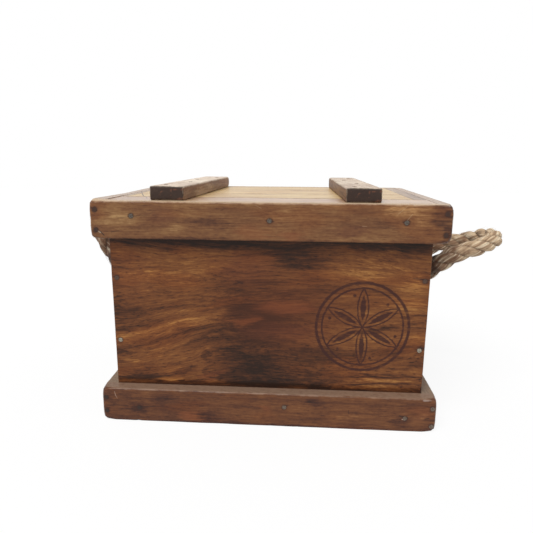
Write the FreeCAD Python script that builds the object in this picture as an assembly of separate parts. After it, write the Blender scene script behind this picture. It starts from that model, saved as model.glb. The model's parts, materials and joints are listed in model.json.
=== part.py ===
import FreeCAD, Part
import math
import os

os.makedirs("parts", exist_ok=True)

# A rustic pine storage box with a lift-off lid, two battens on the lid and a rope handle at each end.
# Millimetres, Z up. X runs along the front and Y towards the back. The origin is the centre of the underside.

# Boards
stock = 15.0  # planed board for the walls and the lid's rim
plinth_stock = 16.0
trim_height = 45.0  # width of the board that the plinth and the rim are cut from
floor_thickness = 12.0
plank_thickness = 22.0
box_width = 393.0  # outside the walls
box_depth = 274.0
wall_height = 251.0
floor_board_count = 3
floor_gap = 0.6
lid_clearance = 1.0  # all round, between the walls and the lid's rim

# Edges
corner_radius = 4.0  # outer upright corners of the plinth and the rim
arris = 2.6  # rounding of their long outer edges
wall_arris = 1.2
floor_arris = 0.8
plank_arris = 0.7
batten_arris = 2.0
overrun = 5.0  # how far a cutting block passes the wood
match_tolerance = 0.000001  # between two coordinates that count as one

# Boards inside the lid's rim
front_board_width = 50.0
left_strip_width = 8.0
right_strip_width = 16.0
plank_count = 3
plank_gap = 0.4

# Battens, set a little askew by hand
batten_width = 42.0
batten_thickness = 17.0
batten_inset = 16.0  # from the lid's front edge
batten_back_inset = 10.0  # from its back edge
left_batten_inset = 90.0  # front end's middle, from the lid's left edge
right_batten_inset = 100.0  # and from its right edge
left_batten_skew_deg = 3.4
right_batten_skew_deg = -1.0

# Nails
head_radius = 2.7
head_thickness = 0.9
head_proud = 0.25
floor_head_sunk = 0.4
shank_radius = 1.1
nail_length = 30.0
plinth_nail_length = 26.0

# Where the nails are driven, as shares of the board that they go through
rim_nails_shares = ((-0.381, 0.16), (0.006, 0.0), (0.377, 0.0))
rim_end_nails_shares = ((-0.30, 0.10), (0.02, 0.22), (0.33, 0.12))
wall_inset_share = 0.45
plinth_nails_shares = ((-0.387, 0.425), (0.054, 0.60), (0.410, 0.40))
plinth_end_nails_shares = ((-0.31, 0.45), (0.33, 0.52))
floor_side_nails_shares = (-0.28, 0.30)
floor_edge_nails_shares = (-0.31, 0.02, 0.33)
batten_nails_shares = ((0.09, -0.20), (0.344, 0.07), (0.60, -0.16), (0.86, 0.18))

# Where the nails of the upright corners are driven: left and right end, as shares of the board's height
rim_corner_nails_shares = ((0.77, 0.23), (0.77, 0.23))
plinth_corner_nails_shares = ((0.71, 0.29), (0.71, 0.18))
wall_nails_shares = ((0.371, 0.700), (0.361, 0.715))
rim_corner_inset = 7.0
plinth_corner_inset = 5.0

# Rope handles
rope_radius = 11.0
rope_hole_play = 0.8
rope_height = 179.0  # holes above the underside
rope_spacing = 100.0  # between the two holes of one handle
hinge_gap = 0.3  # between the rope in the hole and the loop that swings
tail_proud = 0.5
arc_share = 0.45  # of the shorter run, for each bend of the loop

# Stopper knots inside the box
knot_radius = 26.0
knot_length = 42.0
knot_rounding = 12.0
knot_tail = 20.0

# Each loop's route from its first hole to its second, chosen by hand.
# A point is how far out, along the wall and up it lies from the middle between the two hinge points.
right_route = (
    (0.0, -50.0, 0.0),
    (18.0, -51.0, 14.5),
    (46.0, -50.0, 30.0),
    (78.0, -46.0, 40.0),
    (107.0, -19.0, 49.0),
    (108.0, 18.0, 48.0),
    (81.0, 45.0, 37.0),
    (50.0, 51.0, 27.0),
    (21.0, 51.0, 13.5),
    (0.0, 50.0, 0.0),
)
left_route = (
    (0.0, -50.0, 0.0),
    (15.0, -51.0, 15.0),
    (34.0, -49.0, 48.0),
    (46.0, -29.0, 69.0),
    (51.0, 8.0, 76.0),
    (50.0, 42.0, 66.0),
    (43.0, 64.0, 43.0),
    (27.5, 66.0, 19.0),
    (12.0, 57.0, 6.0),
    (0.0, 50.0, 0.0),
)

# Sizes that follow
plinth_width = box_width + 2 * plinth_stock
plinth_depth = box_depth + 2 * plinth_stock
rim_inner_width = box_width + 2 * lid_clearance
rim_inner_depth = box_depth + 2 * lid_clearance
lid_width = rim_inner_width + 2 * stock
lid_depth = rim_inner_depth + 2 * stock
batten_length = lid_depth - batten_inset - batten_back_inset
wall_top = floor_thickness + wall_height
lid_top = wall_top + plank_thickness
rim_bottom = lid_top - trim_height
side_wall_length = box_depth - 2 * stock
rope_hole_radius = rope_radius + rope_hole_play
wall_face = box_width / 2
wall_inside = wall_face - stock
tail_end = wall_face + tail_proud
hinge_x = tail_end + hinge_gap + rope_radius

axis_x = FreeCAD.Vector(1, 0, 0)
axis_y = FreeCAD.Vector(0, 1, 0)
axis_z = FreeCAD.Vector(0, 0, 1)


def at(x, y, z):
    return FreeCAD.Vector(x, y, z)


def block(low, high):
    """A plain board between two opposite corners."""
    size = high - low
    return Part.makeBox(size.x, size.y, size.z, low)


def edges_where(shape, wanted):
    """The edges whose bounding box passes a test."""
    return [edge for edge in shape.Edges if wanted(edge.BoundBox)]


def same(a, b):
    return math.isclose(a, b, abs_tol=match_tolerance)


def upright(box):
    """An edge that runs along Z."""
    return same(box.XMin, box.XMax) and same(box.YMin, box.YMax)


def level_at(height):
    """A test for edges that lie level at one height."""
    return lambda box: same(box.ZMin, height) and same(box.ZMax, height)


# Plinth and rim

def trim_ring(width, depth, inner_width, inner_depth, bottom):
    """Four boards round a rectangle, still in one piece, with rounded outer corners and edges."""
    top = bottom + trim_height
    body = block(at(-width / 2, -depth / 2, bottom), at(width / 2, depth / 2, top))
    body = body.makeFillet(corner_radius, edges_where(body, upright))
    low_edges = edges_where(body, level_at(bottom))
    high_edges = edges_where(body, level_at(top))
    body = body.makeFillet(arris, low_edges + high_edges)
    low = at(-inner_width / 2, -inner_depth / 2, bottom - overrun)
    high = at(inner_width / 2, inner_depth / 2, top + overrun)
    return body.cut(block(low, high))


def saw(ring, width, depth, inner_width, inner_depth, bottom):
    """Cut a ring into a front and a back board at full length, and two side boards between them."""
    low_z = bottom - overrun
    high_z = bottom + trim_height + overrun
    out_x = width / 2 + overrun
    out_y = depth / 2 + overrun
    in_x = inner_width / 2
    in_y = inner_depth / 2
    return {
        "front": ring.common(block(at(-out_x, -out_y, low_z), at(out_x, -in_y, high_z))),
        "back": ring.common(block(at(-out_x, in_y, low_z), at(out_x, out_y, high_z))),
        "left": ring.common(block(at(-out_x, -in_y, low_z), at(-in_x, in_y, high_z))),
        "right": ring.common(block(at(in_x, -in_y, low_z), at(out_x, in_y, high_z))),
    }


def trim_boards(width, depth, inner_width, inner_depth, bottom):
    ring = trim_ring(width, depth, inner_width, inner_depth, bottom)
    return saw(ring, width, depth, inner_width, inner_depth, bottom)


# Walls and floor

def long_wall(side):
    """The front wall for side -1 and the back wall for side 1: one wide board each."""
    outer = side * box_depth / 2
    inner = outer - side * stock
    low = at(-wall_face, min(outer, inner), floor_thickness)
    high = at(wall_face, max(outer, inner), wall_top)
    board = block(low, high)
    corners = edges_where(board, lambda box: upright(box) and same(box.YMin, outer))
    return board.makeFillet(wall_arris, corners)


def side_wall(side):
    """An end wall between the long walls, bored for its two ropes."""
    outer = side * wall_face
    inner = side * wall_inside
    low = at(min(outer, inner), -side_wall_length / 2, floor_thickness)
    high = at(max(outer, inner), side_wall_length / 2, wall_top)
    board = block(low, high)
    for place in (-rope_spacing / 2, rope_spacing / 2):
        start = at(low.x - overrun, place, rope_height)
        hole = Part.makeCylinder(rope_hole_radius, stock + 2 * overrun, start, axis_x)
        board = board.cut(hole)
    return board


def floor_board(index):
    """One of the boards that close the underside."""
    pitch = box_depth / floor_board_count
    front = -box_depth / 2 + index * pitch
    gap_before = floor_gap / 2 if index > 0 else 0
    gap_after = floor_gap / 2 if index < floor_board_count - 1 else 0
    low = at(-wall_face, front + gap_before, 0)
    high = at(wall_face, front + pitch - gap_after, floor_thickness)
    board = block(low, high)

    def joint(box):
        edge_y = same(box.YMin, box.YMax) and abs(box.YMin) < box_depth / 2 - floor_gap
        return edge_y and level_at(0)(box)

    return board.makeFillet(floor_arris, edges_where(board, joint))


# Lid boards

def lid_board(x0, x1, y0, y1):
    """A board that lies flush in the rim, with its top edges eased."""
    board = block(at(x0, y0, wall_top), at(x1, y1, lid_top))
    return board.makeFillet(plank_arris, edges_where(board, level_at(lid_top)))


def lid_boards():
    in_x = rim_inner_width / 2
    in_y = rim_inner_depth / 2
    split = -in_y + front_board_width
    behind = split + plank_gap
    boards = {"lid_front_board": lid_board(-in_x, in_x, -in_y, split)}
    left_edge = -in_x + left_strip_width
    right_edge = in_x - right_strip_width
    boards["lid_left_strip"] = lid_board(-in_x, left_edge, behind, in_y)
    boards["lid_right_strip"] = lid_board(right_edge, in_x, behind, in_y)
    gaps = (plank_count - 1) * plank_gap
    width = (in_y - behind - gaps) / plank_count
    for index in range(plank_count):
        front = behind + index * (width + plank_gap)
        name = "lid_plank_" + str(index + 1)
        boards[name] = lid_board(left_edge + plank_gap, right_edge - plank_gap, front, front + width)
    return boards


def batten_place(offset, skew):
    """Turn a batten's own frame, with its front end's middle at the origin, into the box's frame."""
    turn = FreeCAD.Rotation(axis_z, -skew)
    return FreeCAD.Placement(at(offset, -lid_depth / 2 + batten_inset, lid_top), turn)


def batten(offset, skew):
    half = batten_width / 2
    board = block(at(-half, 0, 0), at(half, batten_length, batten_thickness))
    board = board.makeFillet(batten_arris, board.Edges)
    board.Placement = batten_place(offset, skew)
    return board


# Nails

def nail(head, inward, length, proud):
    """A flat-headed wire nail whose head lies at a point of the wood and whose shank goes inward."""
    top = head - inward * proud
    cap = Part.makeCylinder(head_radius, head_thickness, top, inward)
    shank = Part.makeCylinder(shank_radius, length + proud, top, inward)
    return cap.fuse(shank).removeSplitter()


def frame_nails(width, depth, length, faces, ends, corners, inset, bottom, height_of):
    """The nails of the plinth or the rim: through each face, and twice into each end of the side boards."""
    nails = []
    for side in (-1, 1):
        inward = axis_y * -side
        for along, up in faces:
            head = at(-side * along * width, side * depth / 2, height_of(up))
            nails.append(nail(head, inward, length, head_proud))
        for end, heights in zip((-1, 1), corners):
            for share in heights:
                head = at(end * (width / 2 - inset), side * depth / 2, bottom + share * trim_height)
                nails.append(nail(head, inward, nail_length, head_proud))
        for along, up in ends:
            head = at(side * width / 2, side * along * depth, height_of(up))
            nails.append(nail(head, axis_x * -side, length, head_proud))
    return nails


def rim_nail_height(share):
    """Just above the underside of the lid's boards, which the nails hold."""
    return wall_top + shank_radius + share * plank_thickness


def plinth_nail_height(share):
    return share * trim_height


def wall_nails():
    nails = []
    for side in (-1, 1):
        for end, heights in zip((-1, 1), wall_nails_shares):
            for share in heights:
                x = end * (wall_face - wall_inset_share * stock)
                head = at(x, side * box_depth / 2, floor_thickness + share * wall_height)
                nails.append(nail(head, axis_y * -side, nail_length, head_proud))
    return nails


def floor_nails():
    """Driven up from below, with their heads sunk out of the way."""
    nails = []
    pitch = box_depth / floor_board_count
    for index in range(floor_board_count):
        middle = -box_depth / 2 + index * pitch + pitch / 2
        for end in (-1, 1):
            for share in floor_side_nails_shares:
                x = end * (wall_face - stock / 2)
                nails.append(nail(at(x, middle + share * pitch, 0), axis_z, nail_length, -floor_head_sunk))
    for side in (-1, 1):
        for share in floor_edge_nails_shares:
            y = side * (box_depth / 2 - stock / 2)
            nails.append(nail(at(share * box_width, y, 0), axis_z, nail_length, -floor_head_sunk))
    return nails


def batten_nails():
    nails = []
    for offset, skew in battens.values():
        place = batten_place(offset, skew)
        for along, across in batten_nails_shares:
            spot = place.multVec(at(across * batten_width, along * batten_length, batten_thickness))
            nails.append(nail(spot, axis_z * -1, nail_length, head_proud))
    return nails


# Rope

def rope_path(points):
    """Straight runs joined by tangent arcs, with each arc's radius from its shorter run and its turn."""
    edges = []
    radii = []
    start = points[0]
    for before, point, after in zip(points, points[1:], points[2:]):
        back = before - point
        ahead = after - point
        shorter = min(back.Length, ahead.Length)
        reach = arc_share * shorter
        turn = math.pi - back.getAngle(ahead)
        radii.append(reach / math.tan(turn / 2))
        back.normalize()
        ahead.normalize()
        first = point + back * reach
        last = point + ahead * reach
        bisector = back + ahead
        bisector.normalize()
        radius = radii[-1]
        drop = radius / math.cos(turn / 2) - radius
        edges.append(Part.LineSegment(start, first).toShape())
        edges.append(Part.Arc(first, point + bisector * drop, last).toShape())
        start = last
    edges.append(Part.LineSegment(start, points[-1]).toShape())
    return Part.Wire(edges), radii


def rope_loop(name, route, side):
    """The rope outside the wall, with a round end in front of each hole, about which it swings."""
    points = [at(side * (hinge_x + out), along, rope_height + up) for out, along, up in route]
    path, radii = rope_path(points)
    first_run = points[1] - points[0]
    section = Part.Wire(Part.makeCircle(rope_radius, points[0], first_run))
    tube = path.makePipeShell([section], True, False)
    solid = tube.Solids[0] if tube.Solids else Part.Solid(tube)
    area = math.pi * rope_radius**2
    print(name, "bend radii", [round(radius, 1) for radius in radii])
    print(name, "length", round(path.Length, 1))
    print(name, "volume over section times length", round(solid.Volume / (area * path.Length), 4))
    for end in (points[0], points[-1]):
        solid = solid.fuse(Part.makeSphere(rope_radius, end))
    return solid.removeSplitter()


def rope_tails(side):
    """The rope inside the two holes of one end wall."""
    tails = []
    for place in (-rope_spacing / 2, rope_spacing / 2):
        start = at(side * wall_inside, place, rope_height)
        tails.append(Part.makeCylinder(rope_radius, stock + tail_proud, start, axis_x * side))
    return tails


def knot(side, place):
    """A stopper knot pulled up against the wall's inner face, with its short tail."""
    start = at(side * wall_inside, place, rope_height)
    inward = axis_x * -side
    lump = Part.makeCylinder(knot_radius, knot_length, start, inward)
    far = side * (wall_inside - knot_length)
    rounds = edges_where(lump, lambda box: same(box.XMin, box.XMax))
    inner_rounds = [edge for edge in rounds if same(edge.BoundBox.XMin, far)]
    lump = lump.makeFillet(knot_rounding, inner_rounds)
    end = at(far, place, rope_height)
    tail = Part.makeCylinder(rope_radius, knot_tail, end, inward)
    return lump.fuse(tail).removeSplitter()


def knots(side):
    return [knot(side, place) for place in (-rope_spacing / 2, rope_spacing / 2)]


# Put the pieces together

battens = {
    "left_batten": (-lid_width / 2 + left_batten_inset, left_batten_skew_deg),
    "right_batten": (lid_width / 2 - right_batten_inset, right_batten_skew_deg),
}

wood = {
    "front_wall": long_wall(-1),
    "back_wall": long_wall(1),
    "left_wall": side_wall(-1),
    "right_wall": side_wall(1),
}
for index in range(floor_board_count):
    wood["floor_board_" + str(index + 1)] = floor_board(index)
plinth = trim_boards(plinth_width, plinth_depth, box_width, box_depth, 0)
for place, board in plinth.items():
    wood["plinth_" + place] = board
rim = trim_boards(lid_width, lid_depth, rim_inner_width, rim_inner_depth, rim_bottom)
for place, board in rim.items():
    wood["lid_rim_" + place] = board
wood.update(lid_boards())
for name, (offset, skew) in battens.items():
    wood[name] = batten(offset, skew)

nails = {
    "lid_rim_nails": frame_nails(
        lid_width,
        lid_depth,
        nail_length,
        rim_nails_shares,
        rim_end_nails_shares,
        rim_corner_nails_shares,
        rim_corner_inset,
        rim_bottom,
        rim_nail_height,
    ),
    "plinth_nails": frame_nails(
        plinth_width,
        plinth_depth,
        plinth_nail_length,
        plinth_nails_shares,
        plinth_end_nails_shares,
        plinth_corner_nails_shares,
        plinth_corner_inset,
        0,
        plinth_nail_height,
    ),
    "wall_nails": wall_nails(),
    "floor_nails": floor_nails(),
    "batten_nails": batten_nails(),
}
all_nails = Part.makeCompound([one for group in nails.values() for one in group])

pieces = {}
for name, board in wood.items():
    pieces[name] = board.cut(all_nails).Solids
pieces.update(nails)
for name, side in (("left", -1), ("right", 1)):
    pieces[name + "_rope_tails"] = rope_tails(side)
    pieces[name + "_rope_knots"] = knots(side)
pieces["left_rope_handle"] = [rope_loop("left_rope_handle", left_route, -1)]
pieces["right_rope_handle"] = [rope_loop("right_rope_handle", right_route, 1)]

print("hinge x", hinge_x, "height", rope_height)
print("lid", lid_width, lid_depth, "top", lid_top, "rim bottom", rim_bottom, "wall top", wall_top)
for name, solids in pieces.items():
    shape = solids[0] if len(solids) == 1 else Part.makeCompound(solids)
    if not shape.isValid():
        print("not valid:", name)
    shape.exportStep("parts/" + name + ".step")
print(len(pieces), "nodes")
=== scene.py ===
# %% [markdown]
# # A pine storage box with rope handles
#
# The real box is nailed together from planed pine boards, stained brown, varnished and then used for years. Its
# construction is already there when this script starts: the frame holds every board, nail and rope as a plain solid at
# its true size. What is missing is the look, so each step below takes one kind of piece and gives it its finish.

# %% Load the frame
import json
import math
import random

import bmesh
import bpy
from mathutils import Matrix, Vector, noise
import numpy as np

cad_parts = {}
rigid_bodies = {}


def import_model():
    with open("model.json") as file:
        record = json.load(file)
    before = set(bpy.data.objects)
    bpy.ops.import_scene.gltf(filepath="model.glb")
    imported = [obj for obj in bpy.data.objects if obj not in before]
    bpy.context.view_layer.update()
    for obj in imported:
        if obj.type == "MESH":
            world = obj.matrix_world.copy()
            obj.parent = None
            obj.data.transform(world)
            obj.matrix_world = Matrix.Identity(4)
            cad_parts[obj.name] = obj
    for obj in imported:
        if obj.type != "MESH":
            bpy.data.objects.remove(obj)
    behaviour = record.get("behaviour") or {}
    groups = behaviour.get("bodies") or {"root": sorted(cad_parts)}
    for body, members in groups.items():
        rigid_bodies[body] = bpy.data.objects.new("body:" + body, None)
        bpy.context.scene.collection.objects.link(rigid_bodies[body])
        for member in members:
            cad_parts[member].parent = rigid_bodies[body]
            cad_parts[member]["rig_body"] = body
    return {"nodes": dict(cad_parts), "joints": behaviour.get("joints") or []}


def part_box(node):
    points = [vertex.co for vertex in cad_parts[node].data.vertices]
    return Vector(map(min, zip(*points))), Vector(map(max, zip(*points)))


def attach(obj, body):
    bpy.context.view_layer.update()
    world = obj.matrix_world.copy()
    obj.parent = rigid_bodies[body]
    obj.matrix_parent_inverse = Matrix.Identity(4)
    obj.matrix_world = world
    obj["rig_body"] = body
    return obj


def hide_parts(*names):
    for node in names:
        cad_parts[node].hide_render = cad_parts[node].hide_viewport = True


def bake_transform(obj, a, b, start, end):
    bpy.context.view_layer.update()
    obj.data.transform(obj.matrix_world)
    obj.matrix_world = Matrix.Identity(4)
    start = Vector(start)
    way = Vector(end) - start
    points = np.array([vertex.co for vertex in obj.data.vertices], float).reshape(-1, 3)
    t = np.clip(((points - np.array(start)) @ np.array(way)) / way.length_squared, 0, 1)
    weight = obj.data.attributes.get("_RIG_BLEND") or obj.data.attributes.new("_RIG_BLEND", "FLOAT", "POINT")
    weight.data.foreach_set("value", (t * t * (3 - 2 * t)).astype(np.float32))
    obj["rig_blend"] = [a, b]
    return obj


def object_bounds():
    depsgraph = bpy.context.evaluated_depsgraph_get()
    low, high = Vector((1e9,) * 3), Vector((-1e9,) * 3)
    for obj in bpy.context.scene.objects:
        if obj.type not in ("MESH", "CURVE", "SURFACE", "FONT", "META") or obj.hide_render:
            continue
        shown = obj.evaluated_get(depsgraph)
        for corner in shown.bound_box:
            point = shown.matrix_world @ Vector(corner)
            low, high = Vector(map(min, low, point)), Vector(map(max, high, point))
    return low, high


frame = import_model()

mm = 0.001
on_face = 0.1 * mm
cad_low, cad_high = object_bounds()
print("box of the frame, mm:", [round(x / mm) for x in (*cad_low, *cad_high)])

# %% [markdown]
# ## Camera
#
# A picture can only be compared with a photograph when both are taken from the same place. The camera's place, turn
# and focal length were worked out from the box's own straight edges, so they are written here as plain values.

# %% Camera
image_width_px = 533
focal_length_px = 494.9
sensor_width_mm = 36.0
eye = Vector((36.3, -726.3, 339.1)) * mm
yaw, pitch, roll = (math.radians(turn) for turn in (-3.68, 12.71, 0.36))

ahead = Vector((math.sin(yaw) * math.cos(pitch), math.cos(yaw) * math.cos(pitch), -math.sin(pitch)))
level = Vector((math.cos(yaw), -math.sin(yaw), 0))
upright = level.cross(ahead)
right = level * math.cos(roll) + upright * math.sin(roll)
up = upright * math.cos(roll) - level * math.sin(roll)

camera_data = bpy.data.cameras.new("camera")
camera_data.sensor_width = sensor_width_mm
camera_data.lens = focal_length_px * sensor_width_mm / image_width_px
camera_data.clip_start = 10 * mm
camera = bpy.data.objects.new("camera", camera_data)
camera.matrix_world = Matrix.Translation(eye) @ Matrix((right, up, -ahead)).transposed().to_4x4()
bpy.context.scene.collection.objects.link(camera)
bpy.context.scene.camera = camera
bpy.context.scene.view_settings.view_transform = "Standard"
print("lens, mm:", round(camera_data.lens, 2))

# %% [markdown]
# ## Nodes without the mouse
#
# A material is a tree of nodes. Small helpers keep the trees short to read: one places a node and fills or connects
# its inputs, and the others stand for the nodes, or the few nodes in a row, that come back in every material.

# %% Node helpers
def feed(tree, socket, value):
    """Connect a value that varies, or type in one that doesn't."""
    if isinstance(value, bpy.types.NodeSocket):
        tree.links.new(value, socket)
    else:
        socket.default_value = value


def put(tree, kind, inputs, **settings):
    """Place one shader node."""
    node = tree.nodes.new("ShaderNode" + kind)
    for name, value in settings.items():
        setattr(node, name, value)
    for key, value in inputs.items():
        feed(tree, node.inputs[key], value)
    return node


def calc(tree, operation, first, second=0.0):
    return put(tree, "Math", {0: first, 1: second}, operation=operation).outputs[0]


def vector_calc(tree, operation, first, second=(0, 0, 0)):
    node = put(tree, "VectorMath", {0: first, 1: second}, operation=operation)
    return node.outputs["Value" if operation in ("LENGTH", "DISTANCE", "DOT_PRODUCT") else "Vector"]


def parts_of(tree, vector):
    """The X, Y and Z of a vector."""
    return put(tree, "SeparateXYZ", {0: vector}).outputs


def ease(tree, value, start, end, low=0.0, high=1.0):
    """Low before start, high after end, and a soft step between them."""
    inputs = {0: value, 1: start, 2: end, 3: low, 4: high}
    return put(tree, "MapRange", inputs, interpolation_type="SMOOTHSTEP").outputs[0]


def blend(tree, mask, first, second):
    """The first colour where the mask is 0 and the second where it is 1."""
    return put(tree, "Mix", {0: mask, 6: first, 7: second}, data_type="RGBA").outputs[2]


def lay_over(tree, colour, mask, strength, stain):
    """A stain, or a painted highlight or shade, laid over a colour, as strongly as said, where the mask is 1."""
    return blend(tree, calc(tree, "MULTIPLY", mask, strength), colour, paint(*stain))


def cloud(tree, vector, scale, detail=2.0, roughness=0.5, distortion=0.0, output=0):
    """A noise texture, stretched by a scale for each axis. Output 0 is one value, and output 1 is three."""
    stretched = vector_calc(tree, "MULTIPLY", vector, scale)
    inputs = {"Vector": stretched, "Scale": 1.0, "Detail": detail, "Roughness": roughness, "Distortion": distortion}
    return put(tree, "TexNoise", inputs).outputs[output]


def weigh(tree, total, value, weight):
    """Add to a total how far a noise is from its middle, times a weight."""
    return calc(tree, "ADD", total, calc(tree, "MULTIPLY", calc(tree, "SUBTRACT", value, 0.5), weight))


def wander(tree, vector, scale, reach, detail=2.0, roughness=0.5, distortion=0.0):
    """A shift that changes from place to place, up to about half of its reach each way."""
    shift = cloud(tree, vector, scale, detail, roughness, distortion, output=1)
    return vector_calc(tree, "MULTIPLY", vector_calc(tree, "SUBTRACT", shift, (0.5, 0.5, 0.5)), reach)


def paint(red, green, blue):
    """A colour as a paint chart gives it, from 0 to 255, in the linear values that a shader takes."""
    def linear(value):
        share = value / 255
        return share / 12.92 if share <= 0.04045 else ((share + 0.055) / 1.055) ** 2.4

    return (linear(red), linear(green), linear(blue), 1.0)


def new_group(name, inputs, outputs):
    """An effect with named sockets, built once and placed in many materials."""
    group = bpy.data.node_groups.new(name, "ShaderNodeTree")
    for title, kind in inputs.items():
        group.interface.new_socket(title, in_out="INPUT", socket_type="NodeSocket" + kind)
    for title, kind in outputs.items():
        group.interface.new_socket(title, in_out="OUTPUT", socket_type="NodeSocket" + kind)
    entry = group.nodes.new("NodeGroupInput")
    way_out = group.nodes.new("NodeGroupOutput")
    return group, entry.outputs, way_out.inputs


def use_group(tree, group, inputs):
    node = tree.nodes.new("ShaderNodeGroup")
    node.node_tree = group
    for key, value in inputs.items():
        feed(tree, node.inputs[key], value)
    return node.outputs


def new_material(name):
    """An empty material, its tree and its surface socket."""
    material = bpy.data.materials.new(name)
    material.use_nodes = True
    tree = material.node_tree
    tree.nodes.clear()
    output = tree.nodes.new("ShaderNodeOutputMaterial")
    return material, tree, output.inputs["Surface"]


# %% [markdown]
# ## Light and floor
#
# The object stands in a white cut-out, so the camera and every reflection see white all round, while the light that
# falls on the wood is kept at a plain level by Light Path. One large soft sun above the front gives the rim its shadow
# on the wall. The floor is pale and catches a faint shadow.

# %% Light and floor
sky_level = 0.5
sun_level = 2.3
sun_softness = math.radians(38)
sun_towards = Vector((0.28, 0.62, -0.95))
floor_size = 8.0
floor_glow_share = 0.85
floor_glow_level = 1.03


def seen_white(tree):
    """1 for rays from the camera and for reflections, and 0 for light that falls on a surface."""
    path = put(tree, "LightPath", {})
    seen = calc(tree, "MAXIMUM", path.outputs["Is Camera Ray"], path.outputs["Is Glossy Ray"])
    return calc(tree, "MAXIMUM", seen, path.outputs["Is Transmission Ray"])


world = bpy.data.worlds.new("white studio")
bpy.context.scene.world = world
world.use_nodes = True
sky = world.node_tree.nodes["Background"]
sky.inputs["Color"].default_value = (1, 1, 1, 1)
sky_strength = ease(world.node_tree, seen_white(world.node_tree), 0.0, 1.0, sky_level, 1.0)
world.node_tree.links.new(sky_strength, sky.inputs["Strength"])

sun_data = bpy.data.lights.new("soft sun", "SUN")
sun_data.energy = sun_level
sun_data.angle = sun_softness
sun = bpy.data.objects.new("soft sun", sun_data)
sun.rotation_euler = sun_towards.to_track_quat("-Z", "Y").to_euler()
bpy.context.scene.collection.objects.link(sun)

floor_material, floor_tree, floor_surface = new_material("pale floor")
floor_matt = put(floor_tree, "BsdfDiffuse", {"Color": (0.8, 0.8, 0.8, 1)})
floor_glow = put(floor_tree, "Emission", {"Color": (1, 1, 1, 1), "Strength": floor_glow_level})
floor_share = calc(floor_tree, "MULTIPLY", seen_white(floor_tree), floor_glow_share)
floor_mix = put(floor_tree, "MixShader", {0: floor_share, 1: floor_matt.outputs[0], 2: floor_glow.outputs[0]})
floor_tree.links.new(floor_mix.outputs[0], floor_surface)
bpy.ops.mesh.primitive_plane_add(size=floor_size, location=(0, 0, cad_low.z))
floor = bpy.context.object
floor.name = "floor"
floor.data.materials.append(floor_material)
print("sun from", [round(-x, 2) for x in sun_towards])

# %% [markdown]
# ## Rope handles
#
# Each handle is one length of three-strand rope that leaves the box through one hole and comes back through the other.
# Its route is a short list of given points, and a NURBS curve of order 3 draws the smooth line through them. The
# three strands wind round that line, and each strand is itself ribbed by its twisted yarns, so that the outline of the
# rope is real geometry. A surface drawn on a plain tube would give a smooth, false outline.

# %% Rope routes
rope_spacing = 100 * mm
wall_inside_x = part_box("right_wall")[0].x
wall_outside_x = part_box("right_wall")[1].x
hinge_at = {joint["child"]: Vector(joint["pos_m"]) for joint in frame["joints"] if joint["type"] == "hinge"}

# A point is how far out, along the wall and up it lies from the middle between the two holes, in millimetres.
right_route = (
    (0.0, -50.0, 0.0),
    (18.0, -51.0, 16.0),
    (45.0, -50.5, 32.0),
    (77.0, -46.0, 40.5),
    (104.5, -25.0, 48.0),
    (104.5, 12.0, 47.5),
    (87.0, 42.0, 35.0),
    (54.0, 51.0, 29.5),
    (21.0, 52.0, 16.0),
    (0.0, 50.0, 0.0),
)
left_route = (
    (0.0, -50.0, 0.0),
    (14.0, -51.0, 16.5),
    (33.0, -49.0, 49.0),
    (46.0, -29.0, 69.0),
    (51.0, 8.0, 76.0),
    (50.0, 42.0, 66.0),
    (43.0, 64.0, 43.0),
    (27.5, 66.0, 19.0),
    (12.0, 57.0, 6.0),
    (0.0, 50.0, 0.0),
)


def whole_route(route, hinge, side):
    """The route of one handle, from the inner face of the wall, through both holes and back."""
    outside = [hinge + Vector((side * out, along, rise)) * mm for out, along, rise in route]

    def in_hole(along):
        return [Vector((side * x, along, hinge.z)) for x in (wall_inside_x, wall_outside_x)]

    return in_hole(-rope_spacing / 2) + outside + in_hole(rope_spacing / 2)[::-1]


def smooth_line(points, step):
    """Evenly spaced points of the NURBS curve that has these control points."""
    curve = bpy.data.curves.new("route", "CURVE")
    curve.dimensions = "3D"
    spline = curve.splines.new("NURBS")
    spline.points.add(len(points) - 1)
    for point, place in zip(spline.points, points):
        point.co = (*place, 1)
    spline.order_u = 3
    spline.use_endpoint_u = True
    spline.resolution_u = 24
    holder = bpy.data.objects.new("route", curve)
    mesh = bpy.data.meshes.new_from_object(holder)
    line = [vertex.co.copy() for vertex in mesh.vertices]
    bpy.data.meshes.remove(mesh)
    bpy.data.objects.remove(holder)
    bpy.data.curves.remove(curve)
    lengths = [0.0]
    for first, second in zip(line, line[1:]):
        lengths.append(lengths[-1] + (second - first).length)
    count = round(lengths[-1] / step)
    even = []
    index = 0
    for number in range(count + 1):
        along = min(lengths[-1] * number / count, lengths[-1])
        while lengths[index + 1] < along and index < len(line) - 2:
            index += 1
        share = (along - lengths[index]) / (lengths[index + 1] - lengths[index])
        even.append(line[index].lerp(line[index + 1], share))
    return even, lengths[-1]


# %% [markdown]
# The strands need a steady direction to start their turn from. A frame that is carried along the line and turned only
# as much as the line turns gives it: no twist is added, so the lay stays even round every bend.

# %% Strands
strand_count = 3
lay_length = 70 * mm
strand_radius = 6.9 * mm
strand_offset = 4.4 * mm
strand_stray = 0.35 * mm
strand_stray_length = 17 * mm
strand_swell_share = 0.07
strand_swell_length = 13 * mm
strand_sides = 30
yarn_count = 8
yarn_depth_share = 0.15
yarn_bump_share = 0.045
yarn_bump_length = 9 * mm
yarn_lay = 34 * mm
ring_step = 1.3 * mm


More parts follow.
